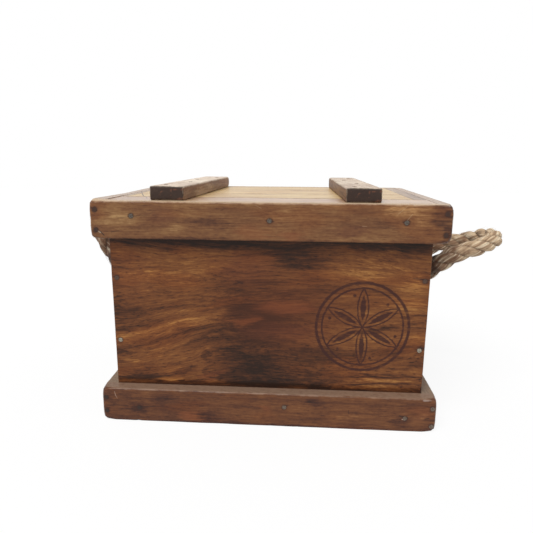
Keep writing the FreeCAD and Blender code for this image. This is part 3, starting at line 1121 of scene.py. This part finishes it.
front_marks_and_shade = (
    ((-196, -137, 189), (-182, -137, 188), 1.2, 0.5, (58, 38, 32)),
    ((176, -137, 195), (196, -137, 193), 1.4, 0.6, (52, 36, 32)),
    ((190, -137, 107), (196, -137, 105), 1.6, 0.7, (48, 34, 32)),
    ((-36, -137, 184.5), (-31, -137, 184), 1.2, 0.8, (50, 32, 28)),
    ((196, -137, 47), (196, -137, 53), 2.0, 0.8, (46, 32, 28)),
    # A dark line along the foot of the wall, where it meets the plinth: a dark joint, and painted shade.
    ((-196, -137, 45.5), (196, -137, 45.5), 1.8, 0.55, (48, 32, 27)),
)


def front_bend(tree, place):
    """The grain of the front turns aside: it rises to the right round the dark middle and dips at the top right."""
    x, y, z = parts_of(tree, place)

    def hump(low, middle, high):
        """1 at the middle height, and 0 from low down and from high up."""
        return calc(tree, "MULTIPLY", ease(tree, z, low, middle), ease(tree, z, middle, high, 1.0, 0.0))

    left_rise = calc(tree, "MULTIPLY", hump(0.0, 0.12, 0.24), ease(tree, x, -0.2, -0.04, 0.0, 0.03))
    right_dip = calc(tree, "MULTIPLY", ease(tree, z, 0.15, 0.2), ease(tree, x, 0.04, 0.2, 0.0, -0.014))
    right_rise = calc(tree, "MULTIPLY", hump(0.06, 0.12, 0.18), ease(tree, x, 0.08, 0.2, 0.0, 0.012))
    lifted = calc(tree, "ADD", calc(tree, "ADD", left_rise, right_dip), right_rise)
    return put(tree, "CombineXYZ", {0: x, 1: y, 2: calc(tree, "SUBTRACT", z, lifted)}).outputs[0]


# %% [markdown]
# Low on the right of the front a round mark is burnt into the wood. Here it is a compass drawing of the oldest kind:
# with the compass at one radius all the way, six points on a ring give six petals. Distances to those six points are
# all that the shader needs, so the drawing stays sharp at any scale.

# %% Burnt rosette
rosette_middle = Vector((118, 0, 131)) * mm
rosette_radius = 50 * mm
burnt_line = 1.7 * mm
dot_ring_share = 0.84
burnt = (58, 31, 27)
burnt_strength = 0.92


def burnt_rosette_group():
    group, given, out = new_group("burnt rosette", {"Place": "Vector"}, {"Mask": "Float"})
    shake = wander(group, given["Place"], (260, 260, 260), (0.002, 0, 0.002))
    flat = vector_calc(group, "ADD", vector_calc(group, "MULTIPLY", given["Place"], (1, 0, 1)), shake)

    def away(angle, distance):
        point = rosette_middle + Vector((math.cos(angle), 0, math.sin(angle))) * distance
        return vector_calc(group, "DISTANCE", flat, tuple(point))

    def line_at(distance, radius, width):
        off = calc(group, "ABSOLUTE", calc(group, "SUBTRACT", distance, radius))
        return ease(group, off, width * 0.3, width * 0.75, 1.0, 0.0)

    centre = away(0, 0)
    inside = ease(group, centre, rosette_radius - 0.5 * mm, rosette_radius + 0.5 * mm, 1.0, 0.0)
    six = [away(math.radians(60 * point + 30), rosette_radius) for point in range(6)]
    drawn = 0.0
    for number in range(6):
        arc = calc(group, "MULTIPLY", line_at(six[number], rosette_radius, burnt_line), inside)
        within = [calc(group, "SUBTRACT", rosette_radius, six[(number + step) % 6]) for step in (0, 2)]
        petal = ease(group, calc(group, "MINIMUM", within[0], within[1]), 3.0 * mm, 3.9 * mm)
        drawn = calc(group, "MAXIMUM", drawn, calc(group, "MAXIMUM", arc, petal))
        dot = away(math.radians(60 * number + 45), rosette_radius * dot_ring_share)
        drawn = calc(group, "MAXIMUM", drawn, ease(group, dot, 1.5 * mm, 2.4 * mm, 1.0, 0.0))
    for ring, width in ((1.0, 1.3), (1.14, 2.0)):
        drawn = calc(group, "MAXIMUM", drawn, line_at(centre, rosette_radius * ring, burnt_line * width))
    worn_away = ease(group, cloud(group, given["Place"], (60, 200, 200), 3, 0.6), 0.28, 0.5, 0.55, 1.0)
    feed(group, out["Mask"], calc(group, "MULTIPLY", drawn, worn_away))
    return group


burnt_rosette = burnt_rosette_group()


def rosette(tree, place, colour):
    """A layer: the burnt drawing."""
    return lay_over(tree, colour, use_group(tree, burnt_rosette, {"Place": place})["Mask"], burnt_strength, burnt)


# %% Front and back walls
wall_colours = ((42, 27, 20), (70, 41, 26), (101, 60, 34), (124, 78, 42), (162, 114, 62))
wall_lines = [(0, 0.5 * mm), (0, 1.3 * mm), (0, -0.5 * mm), (0, -1.3 * mm)]
bled_iron = (60, 38, 32)


def wall(node, seed, outer_side, tone_layers, colour_layers, bend):
    """One long wall: a wide board whose face has moved a little."""
    low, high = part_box(node)
    piece = saw_board("worn_" + node, low, high, cell=6 * mm, close_lines=wall_lines)
    sand(piece, low, high, lambda place: (1.1 + 0.5 * wobble(place, 25 * mm, seed)) * mm)
    face = low.y if outer_side < 0 else high.y
    for vertex in piece.data.vertices:
        if abs(vertex.co.y - face) < on_face:
            dip = 0.12 * mm * (1 + wobble(vertex.co, 60 * mm, seed))
            vertex.co.y -= outer_side * dip
    finish = wood("stained " + node, wall_colours, "X", seed, low, high, base=0.6, clouds=0.6, streaks=0.6,
                  rings=0.16, fibres=0.85, pores=0.3, mottle=0.35, red=0.4, bend=bend,
                  pith=(0, -0.02 * outer_side, 0.02), ring_width=6 * mm, waviness=0.05,
                  wear_width=1.3 * mm, wear=0.3, worn=(150, 110, 80), tone_layers=tone_layers,
                  colour_layers=colour_layers)
    dress(piece, node, finish)


wall_heads = nail_heads("wall_nails", 1, -1)
print("nail heads in the front wall:", len(wall_heads))
front_stains = nail_stains(wall_heads, 5 * mm, bled_iron, 0.8)
back_stains = nail_stains(nail_heads("wall_nails", 1, 1), 5 * mm, bled_iron, 0.8)
front_layers = (colour_patches(front_flames), rosette, front_stains, marks(front_marks_and_shade))
wall("front_wall", 1.0, -1, (tone_patches(front_tones_and_shade),), front_layers, front_bend)
wall("back_wall", 2.0, 1, (), (back_stains,), None)

# %% [markdown]
# ## Plinth and rim
#
# Two frames of the same board go round the box, one at the foot and one as the lid's rim. Their front corners have
# been knocked round, so the sanding radius grows towards each corner, and small bites are taken out along the edges
# where the noise is strongest.

# %% Plinth and rim boards
edge_radius = 2.4 * mm
foot_radius = 1.2 * mm
upright_radius = 2.6 * mm
corner_zone = 15 * mm
wear_below = Vector((0, 0, 12)) * mm
corner_lift = 2.4 * mm


def ring_radius(low, high, tip_extras, seed):
    """The sanding radius of a ring of boards: small along its edges, larger at the corners, with a few bites."""
    middle_z = (low.z + high.z) / 2
    half_z = (high.z - low.z) / 2

    def near(distance):
        return min(max(1 - distance / corner_zone, 0), 1)

    def radius(place):
        to_side = min(place.x - low.x, high.x - place.x)
        to_face = min(place.y - low.y, high.y - place.y)
        corner = near(to_side) * near(to_face)
        tip = corner * min(max(abs(place.z - middle_z) / half_z * 2.2 - 1.2, 0), 1)
        bite = max(wobble(place, 9 * mm, seed + 5) - 0.42, 0) * 5 * mm
        base = edge_radius if place.z > middle_z else foot_radius
        base += (upright_radius - base) * corner + tip_extras[0 if place.x < 0 else 1] * tip
        return max(base + 0.7 * mm * wobble(place, 30 * mm, seed) + bite, 0.8 * mm)

    return radius


def ring_lines(place):
    """Extra saw lines near the faces of a ring's board that show."""
    outer = {"front": (1, 1), "back": (1, -1), "left": (0, 1), "right": (0, -1)}[place]
    insets = (0.35 * mm, 1.0 * mm, 1.9 * mm)
    lines = [(outer[0], outer[1] * inset) for inset in insets]
    lines += [(2, side * inset) for side in (1, -1) for inset in insets]
    if place in ("front", "back"):
        lines += [(0, side * inset) for side in (1, -1) for inset in insets]
    return lines


def warp_up(piece, low, high):
    """The lid's front left corner stands a little proud behind the front edge."""
    for vertex in piece.data.vertices:
        near_top = 1 - (high.z - vertex.co.z) / (14 * mm)
        near_side = 1 - (vertex.co.x - low.x) / (26 * mm)
        near_front = 1 - (vertex.co.y - low.y) / (120 * mm)
        behind_edge = (vertex.co.y - low.y) / (9 * mm)
        shares = [min(max(share, 0), 1) for share in (near_top, near_side, near_front, behind_edge)]
        vertex.co.z += corner_lift * math.prod(shares)


def ring(prefix, nails, colours, tip_extras, seed, wear, worn, dust_and_sheen, tones, flames, lines):
    """The four boards of the plinth or of the rim. tones, flames and lines are what the front board alone has."""
    boxes = {place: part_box(prefix + place) for place in ("front", "back", "left", "right")}
    low = Vector((boxes["left"][0].x, boxes["front"][0].y, boxes["front"][0].z))
    high = Vector((boxes["right"][1].x, boxes["back"][1].y, boxes["front"][1].z))
    radius = ring_radius(low, high, tip_extras, seed)
    face_of = {"front": (1, -1), "back": (1, 1), "left": (0, -1), "right": (0, 1)}
    for number, (place, (board_low, board_high)) in enumerate(boxes.items()):
        saw_lines = ring_lines(place)
        piece = saw_board("worn_" + prefix + place, board_low, board_high, cell=3.2 * mm, close_lines=saw_lines)
        sand(piece, low, high, radius)
        if prefix == "lid_rim_":
            warp_up(piece, low, high)
        heads = nail_heads(nails, *face_of[place])
        long_way = place in ("front", "back")
        tone_layers = (tone_patches(tones),) if place == "front" else ()
        colour_layers = (nail_stains(heads, 5.5 * mm, bled_iron, 0.85),)
        if place == "front":
            colour_layers = (colour_patches(flames),) + colour_layers + (marks(lines),)
        pith = (0, 0.03 if number % 2 else -0.05, 0.03)
        finish = wood("stained " + prefix + place, colours, "X" if long_way else "Y", seed + number * 1.3,
                      low - wear_below, high, clouds=0.65, streaks=0.6, fibres=0.8, pith=pith,
                      ring_width=3.6 * mm, rings=0.1, waviness=0.016, wear=wear, worn=worn,
                      dust_and_sheen=dust_and_sheen[0 if long_way else 1], tone_layers=tone_layers, colour_layers=colour_layers)
        dress(piece, prefix + place, finish)
        print(piece.name, "faces:", len(piece.data.polygons), "nail heads:", len(heads))


# %% Plinth
plinth_colours = ((52, 33, 28), (76, 46, 34), (97, 60, 39), (115, 74, 46), (144, 100, 62))
plinth_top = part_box("plinth_front")[1].z
# Dust and painted sheen on the plinth's top.
plinth_dust_and_sheen = ((plinth_top, (136, 112, 94), 0.85), (plinth_top, (138, 118, 98), 0.85))
plinth_tones = (
    (-158, 35, 14, 5, 0, 0.2),
    (-163, 18, 14, 10, 0, -0.3),
    (-131, 29, 14, 6, 0, -0.2),
    (-99, 9, 18, 7, 0, 0.2),
    (-70, 11, 16, 9, 0, -0.25),
    (-35, 31, 46, 10, 0, 0.12),
    (49, 23, 20, 7, 0, 0.15),
    (108, 15, 28, 8, 0, 0.25),
    (58, 35, 12, 6, 0, -0.15),
    (173, 14, 14, 11, 0, -0.3),
    (195, 24, 12, 12, 0, 0.12),
    (-206, 21, 6, 24, 0, -0.15),
    (-150, 22, 60, 24, 0, -0.07),
    (150, 22, 70, 24, 0, 0.1),
    (0, 1, 240, 3, 0, -0.3),
)
plinth_flames = (
    (-99, 9, 16, 7, 0, 0.6, (134, 72, 44)),
    (0, 19, 10, 6, 0, 0.5, (134, 74, 44)),
    (195, 25, 12, 12, 0, 0.4, (120, 72, 50)),
)
plinth_marks = (
    ((199, -153, 18.2), (204, -153, 19.2), 0.9, 0.9, (46, 30, 26)),
    ((-196, -153, 40), (-195, -153, 35), 0.7, 0.8, (160, 134, 116)),
    ((-195, -153, 35), (-193, -153, 31), 0.6, 0.7, (150, 124, 106)),
    ((104, -153, 26), (104.5, -153, 21), 0.9, 0.6, (60, 38, 32)),
    ((168, -153, 21), (177, -153, 19), 1.6, 0.7, (48, 34, 30)),
    ((171, -153, 16.6), (174, -153, 15.6), 0.9, 0.8, (190, 156, 134)),
    ((196, -153, 43), (210, -153, 44), 1.8, 0.6, (160, 144, 136)),
)
ring("plinth_", "plinth_nails", plinth_colours, (4.2 * mm, 4.8 * mm), 11.0, 0.5, (156, 130, 110),
     plinth_dust_and_sheen, plinth_tones, plinth_flames, plinth_marks)

# %% Rim of the lid
rim_colours = ((72, 46, 35), (98, 64, 43), (116, 79, 51), (132, 96, 62), (166, 130, 88))
rim_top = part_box("lid_rim_front")[1].z
# Dust and painted sheen on the rim's top.
rim_dust_and_sheen = ((rim_top, (214, 190, 160), 0.75), (rim_top, (206, 188, 172), 0.76))
rim_tones = (
    (-140, 262, 60, 24, 0, 0.06),
    (140, 262, 60, 24, 0, 0.07),
    (-180, 266, 28, 18, 0, 0.26),
    (-126, 267, 18, 14, 0, -0.16),
    (-108, 251, 18, 9, 0, 0.2),
    (-87, 273, 12, 5, 0, 0.12),
    (-63, 261, 20, 8, 0, -0.16),
    (-156, 251, 14, 10, 0, -0.1),
    (22, 278, 18, 5, 0, 0.14),
    (42, 265, 34, 8, 0, 0.12),
    (92, 252, 26, 8, 0, -0.16),
    (158, 278, 34, 7, 0, 0.3),
    (180, 263, 14, 10, 0, 0.22),
    (133, 260, 24, 7, 0, -0.18),
    (206, 263, 13, 40, 0, -0.38),
    (0, 240, 260, 3.5, 0, -0.25),
)
rim_flames = (
    (-21, 251, 24, 10, 0, 0.6, (132, 76, 46)),
    (24, 247, 20, 8, 0, 0.6, (128, 70, 44)),
    (-126, 267, 18, 13, 0, 0.4, (114, 70, 50)),
    (96, 253, 26, 8, 0, 0.4, (112, 68, 48)),
)
rim_marks_and_highlight = (
    ((150, -153, 274), (161, -153, 284), 0.45, 0.4, (196, 168, 132)),
    ((160, -153, 266), (166, -153, 274), 0.45, 0.35, (186, 160, 126)),
    ((-178, -153, 265), (-151, -153, 268), 0.7, 0.5, (66, 42, 34)),
    ((-159, -153, 267.5), (-139, -153, 269), 0.6, 0.5, (66, 44, 35)),
    ((-187, -153, 248), (-178, -153, 249.5), 0.9, 0.55, (46, 34, 30)),
    ((-200, -153, 248), (-196, -153, 244), 1.2, 0.9, (48, 38, 34)),
    ((-203, -153, 249), (-200, -153, 247), 1.0, 0.6, (168, 152, 132)),
    ((116, -153, 275.5), (163, -153, 277), 0.5, 0.5, (70, 48, 38)),
    ((-14, -153, 282), (-7, -153, 278.5), 0.45, 0.3, (180, 152, 118)),
    ((120, -153, 259), (176, -153, 256), 0.5, 0.4, (66, 42, 34)),
    ((110, -153, 259.5), (115, -153, 259), 0.5, 0.35, (184, 152, 120)),
    # A painted highlight along the top front edge of the rim at its right end.
    ((168, -151, 284.5), (208, -149, 284), 2.2, 0.55, (196, 178, 158)),
)
ring("lid_rim_", "lid_rim_nails", rim_colours, (3.2 * mm, 7.0 * mm), 23.0, 0.5, (192, 162, 130),
     rim_dust_and_sheen, rim_tones, rim_flames, rim_marks_and_highlight)

# %% [markdown]
# ## Lid boards
#
# The lid is closed by boards let in flush with the rim: a wide one at the front, three paler planks behind it and a
# filler strip at each end. Their joints are ragged, and the front edge of the first plank is the worst of them.

# %% Lid boards
plank_colours = ((150, 112, 78), (184, 150, 106), (204, 174, 124), (214, 188, 140), (226, 204, 164))
front_colours = ((120, 82, 58), (150, 112, 82), (172, 136, 102), (192, 158, 122), (212, 182, 146))
strip_colours = ((104, 80, 62), (132, 104, 82), (152, 124, 98), (168, 142, 114), (188, 164, 136))
joint_dirt = (104, 60, 44)
lid_crack = (
    ((-197, 2, 285), (-184, -37, 285), 1.1, 0.85, (70, 44, 36)),
    ((-184, -37, 285), (-170, -76, 285), 1.2, 0.9, (66, 42, 35)),
    ((-170, -76, 285), (-160, -94, 285), 1.2, 0.85, (70, 46, 38)),
    ((-160, -94, 285), (-153, -118, 285), 1.1, 0.7, (84, 54, 44)),
)
lid_cuts = ((0, 0.5), (0, -0.5), (1, 0.5), (1, 1.2), (1, -0.5), (2, -0.5), (2, -1.2))
lid_lines = [(axis, inset * mm) for axis, inset in lid_cuts]


def dirty_joint(low, width, strength):
    """A colour layer: a ragged reddish line along a board's front edge."""
    def layer(tree, place, colour):
        from_edge = calc(tree, "SUBTRACT", parts_of(tree, place)[1], low.y)
        uneven = weigh(tree, from_edge, cloud(tree, place, (130, 60, 60), 3, 0.7), width * 3)
        mask = ease(tree, uneven, width * 0.5, width, strength, 0.0)
        return blend(tree, mask, colour, paint(*joint_dirt))

    return layer


def lid_board(node, colours, grain, seed, ragged, dirt, coat):
    """A flush board, a touch uneven on top. ragged is how deep its front edge is torn, dirt how wide it is soiled."""
    low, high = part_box(node)
    piece = saw_board("worn_" + node, low, high, cell=4.5 * mm, close_lines=lid_lines)

    def radius(place):
        front = max(1 - (place.y - low.y) / (6 * mm), 0)
        tear = max(wobble(place, 5 * mm, seed + 3) + 0.1, 0) * ragged * front
        return max((0.8 + 0.4 * wobble(place, 18 * mm, seed)) * mm + tear, 0.3 * mm)

    sand(piece, low, high, radius)
    for vertex in piece.data.vertices:
        if vertex.co.z > high.z - on_face:
            vertex.co.z -= 0.1 * mm * (1 + wobble(vertex.co, 45 * mm, seed))
    finish = wood("varnished " + node, colours, grain, seed, low, high, pith=(0, 0.02, -0.03), ring_width=5 * mm,
                  rings=0.12, wear_width=1.0 * mm, wear=0.0, red=0.25,
                  colour_layers=(dirty_joint(low, dirt, 0.9), marks(lid_crack)), coat=coat, coat_ior=1.5,
                  coat_roughness=0.3)
    dress(piece, node, finish)


lid_boards = {
    "lid_front_board": (front_colours, "X", 31.0, 0.6, 0.6, 0.9),
    "lid_plank_1": (plank_colours, "X", 35.1, 2.4, 4.0, 0.45),
    "lid_plank_2": (plank_colours, "X", 37.2, 0.6, 1.2, 0.45),
    "lid_plank_3": (plank_colours, "X", 39.3, 0.6, 1.2, 0.45),
    "lid_left_strip": (strip_colours, "Y", 41.0, 0.4, 0.8, 0.6),
    "lid_right_strip": (strip_colours, "Y", 43.0, 0.4, 0.8, 0.6),
}
for node, (colours, grain, seed, ragged, dirt, coat) in lid_boards.items():
    lid_board(node, colours, grain, seed, ragged * mm, dirt * mm, coat)

# %% [markdown]
# ## Battens
#
# Two battens are nailed across the lid, a little out of square. They are rougher than the rest: grey and dry on top,
# brown at the sides and almost black on their end grain. Each is made square to the axes first, because a board is
# easy to saw and sand there, and is turned into its place at the end.

# %% Battens
batten_colours = ((80, 54, 42), (108, 80, 60), (132, 100, 76), (146, 116, 90), (176, 148, 120))
batten_width = 42 * mm
batten_thickness = 17 * mm
batten_length = 280 * mm
batten_setback = 16 * mm
far_end_extra = 4.5 * mm
lid_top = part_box("lid_plank_1")[1].z
lid_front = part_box("lid_rim_front")[0].y
batten_front_y = lid_front + batten_setback
batten_insets = (0.4 * mm, 1.1 * mm, 2.0 * mm)
batten_lines = [(axis, side * inset) for axis in range(3) for side in (1, -1) for inset in batten_insets]

# For each batten its offset from the middle, skew in degrees, seed, how grey it is on top, and its tone.
batten_places = {
    "left_batten": (-122.5 * mm, 3.4, 51.0, 0.9, 0.8),
    "right_batten": (112.5 * mm, -1.0, 57.0, 0.74, 0.5),
}


def batten_layers(low, high, grey):
    """Grey and dry on top, nearly black on the two ends."""
    def layer(tree, place, colour):
        _, y, z = parts_of(tree, place)
        rough = cloud(tree, place, (90, 90, 160), 3, 0.6)
        top = ease(tree, weigh(tree, z, rough, 0.004), high.z - 2.2 * mm, high.z - 0.6 * mm)
        uneven = ease(tree, cloud(tree, place, (60, 12, 60), 4, 0.65), 0.4, 0.62)
        dry = blend(tree, uneven, paint(204, 184, 166), paint(236, 220, 200))
        colour = blend(tree, calc(tree, "MULTIPLY", top, grey), colour, dry)
        from_end = calc(tree, "MINIMUM", calc(tree, "SUBTRACT", y, low.y), calc(tree, "SUBTRACT", high.y, y))
        end = ease(tree, weigh(tree, from_end, rough, 0.004), 0.6 * mm, 1.8 * mm, 1.0, 0.0)
        reddish = ease(tree, cloud(tree, place, (110, 110, 200), 3, 0.6), 0.55, 0.68)
        soot = blend(tree, reddish, paint(58, 48, 45), paint(104, 70, 57))
        return blend(tree, calc(tree, "MULTIPLY", end, 0.95), colour, soot)

    return layer


for node, (offset, skew, seed, grey, base) in batten_places.items():
    low = Vector((-batten_width / 2, 0, 0))
    high = Vector((batten_width / 2, batten_length, batten_thickness))
    piece = saw_board("worn_" + node, low, high, cell=3.5 * mm, close_lines=batten_lines)

    def radius(place, seed=seed):
        bite = max(wobble(place, 8 * mm, seed + 2) - 0.35, 0) * 5 * mm
        far = max(1 - (batten_length - place.y) / (12 * mm), 0) * far_end_extra
        return max((1.8 + 0.8 * wobble(place, 22 * mm, seed)) * mm + bite + far, 0.6 * mm)

    sand(piece, low, high, radius)
    board = piece.data.attributes.new("board", "FLOAT_VECTOR", "POINT")
    board.data.foreach_set("vector", [x for vertex in piece.data.vertices for x in vertex.co])
    spin = Matrix.Rotation(math.radians(-skew), 4, "Z")
    piece.data.transform(Matrix.Translation((offset, batten_front_y, lid_top)) @ spin)
    finish = wood("dry " + node, batten_colours, "Y", seed, low, high, base=base, pith=(0, 0.03, -0.02),
                  ring_width=4 * mm, rings=0.2, waviness=0.014, wear_width=1.4 * mm, wear=0.7,
                  worn=(178, 162, 142), own_place="board", colour_layers=(batten_layers(low, high, grey),),
                  coat=0.12, roughness=0.55)
    dress(piece, node, finish)
    sizes = [[round(vertex.co[axis] / mm, 1) for vertex in piece.data.vertices] for axis in range(3)]
    print(piece.name, "from and to, mm:", [(min(values), max(values)) for values in sizes])

# %% [markdown]
# ## Boards and nails that keep their plain shape
#
# The end walls, with their rope holes, the floor and the nails already have the right shape. They only need a
# finish, so new materials go into the material slots that they have.

# %% Finishes for kept solids
def repaint(node, material):
    slots = frame["nodes"][node].data.materials
    slots.clear()
    slots.append(material)


for node, seed in (("left_wall", 61.0), ("right_wall", 63.0)):
    low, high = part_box(node)
    repaint(node, wood("stained " + node, wall_colours, "Y", seed, low, high, base=0.45, pith=(0, 0.03, -0.01),
                       rings=0.15, waviness=0.04, wear=0.0))
for number in range(1, 4):
    node = "floor_board_" + str(number)
    low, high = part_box(node)
    repaint(node, wood("bare " + node, plank_colours, "X", 71.0 + number, low, high, wear=0.0, coat=0.0,
                       roughness=0.7))


def steel_material(name, brightness, dull, bright):
    """Wire nails with rusty heads. brightness gives a mask from the three parts of the place."""
    material, tree, surface = new_material(name)
    place = put(tree, "TexCoord", {}).outputs["Object"]
    mask = brightness(tree, *parts_of(tree, place))
    spots = cloud(tree, place, (700, 700, 700), 3, 0.6)
    colour = blend(tree, mask, paint(*dull), paint(*bright))
    colour = blend(tree, ease(tree, spots, 0.46, 0.62, 0.0, 0.75), colour, paint(66, 46, 38))
    bump = put(tree, "Bump", {"Strength": 0.5, "Distance": 0.3 * mm, "Height": spots})
    shader = put(tree, "BsdfPrincipled", {
        "Base Color": colour,
        "Metallic": ease(tree, spots, 0.4, 0.7, 0.12, 0.0),
        "Specular IOR Level": 0.2,
        "Roughness": ease(tree, spots, 0.4, 0.7, 0.5, 0.8),
        "Normal": bump.outputs[0],
    })
    tree.links.new(shader.outputs[0], surface)
    return material


def upper_ones_dull(tree, x, y, z):
    return ease(tree, z, 0.16, 0.13)


def left_ones_dull(tree, x, y, z):
    return ease(tree, x, -0.15, 0.05)


def corner_ones_dull(tree, x, y, z):
    return ease(tree, calc(tree, "ABSOLUTE", x), 0.2, 0.18)


nail_finishes = {
    "wall_nails": (upper_ones_dull, (84, 66, 56), (156, 150, 134)),
    "plinth_nails": (left_ones_dull, (52, 41, 37), (110, 98, 86)),
    "lid_rim_nails": (corner_ones_dull, (62, 45, 38), (92, 86, 78)),
    "batten_nails": (left_ones_dull, (90, 76, 64), (120, 90, 72)),
    "floor_nails": (left_ones_dull, (80, 68, 60), (110, 98, 88)),
}
for node, (brightness, dull, bright) in nail_finishes.items():
    repaint(node, steel_material("steel of " + node, brightness, dull, bright))

# %% [markdown]
# ## Tell the frame what moves
#
# Everything rides on a body of the frame, so that the lid lifts with its boards and each loop of rope swings about its
# holes. A loop crosses its joint, because the rope in the holes stays still, so it bends between the two bodies.

# %% Ropes on their bodies
bend_from = 2.0 * mm
bend_to = 22 * mm
for body, (piece, line, length, side) in handles.items():
    hinge = hinge_at[body]
    start = Vector((side * (wall_outside_x + bend_from), 0, hinge.z))
    end = Vector((side * (wall_outside_x + bend_to), 0, hinge.z))
    name = body.replace("_handle", "")
    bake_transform(piece, "box", body, start=start, end=end)
    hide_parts(name + "_rope_handle", name + "_rope_tails")
    for knot in knots[body]:
        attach(knot, "box")
    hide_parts(name + "_rope_knots")
    print(piece.name, "cord length, mm:", round(length / mm))
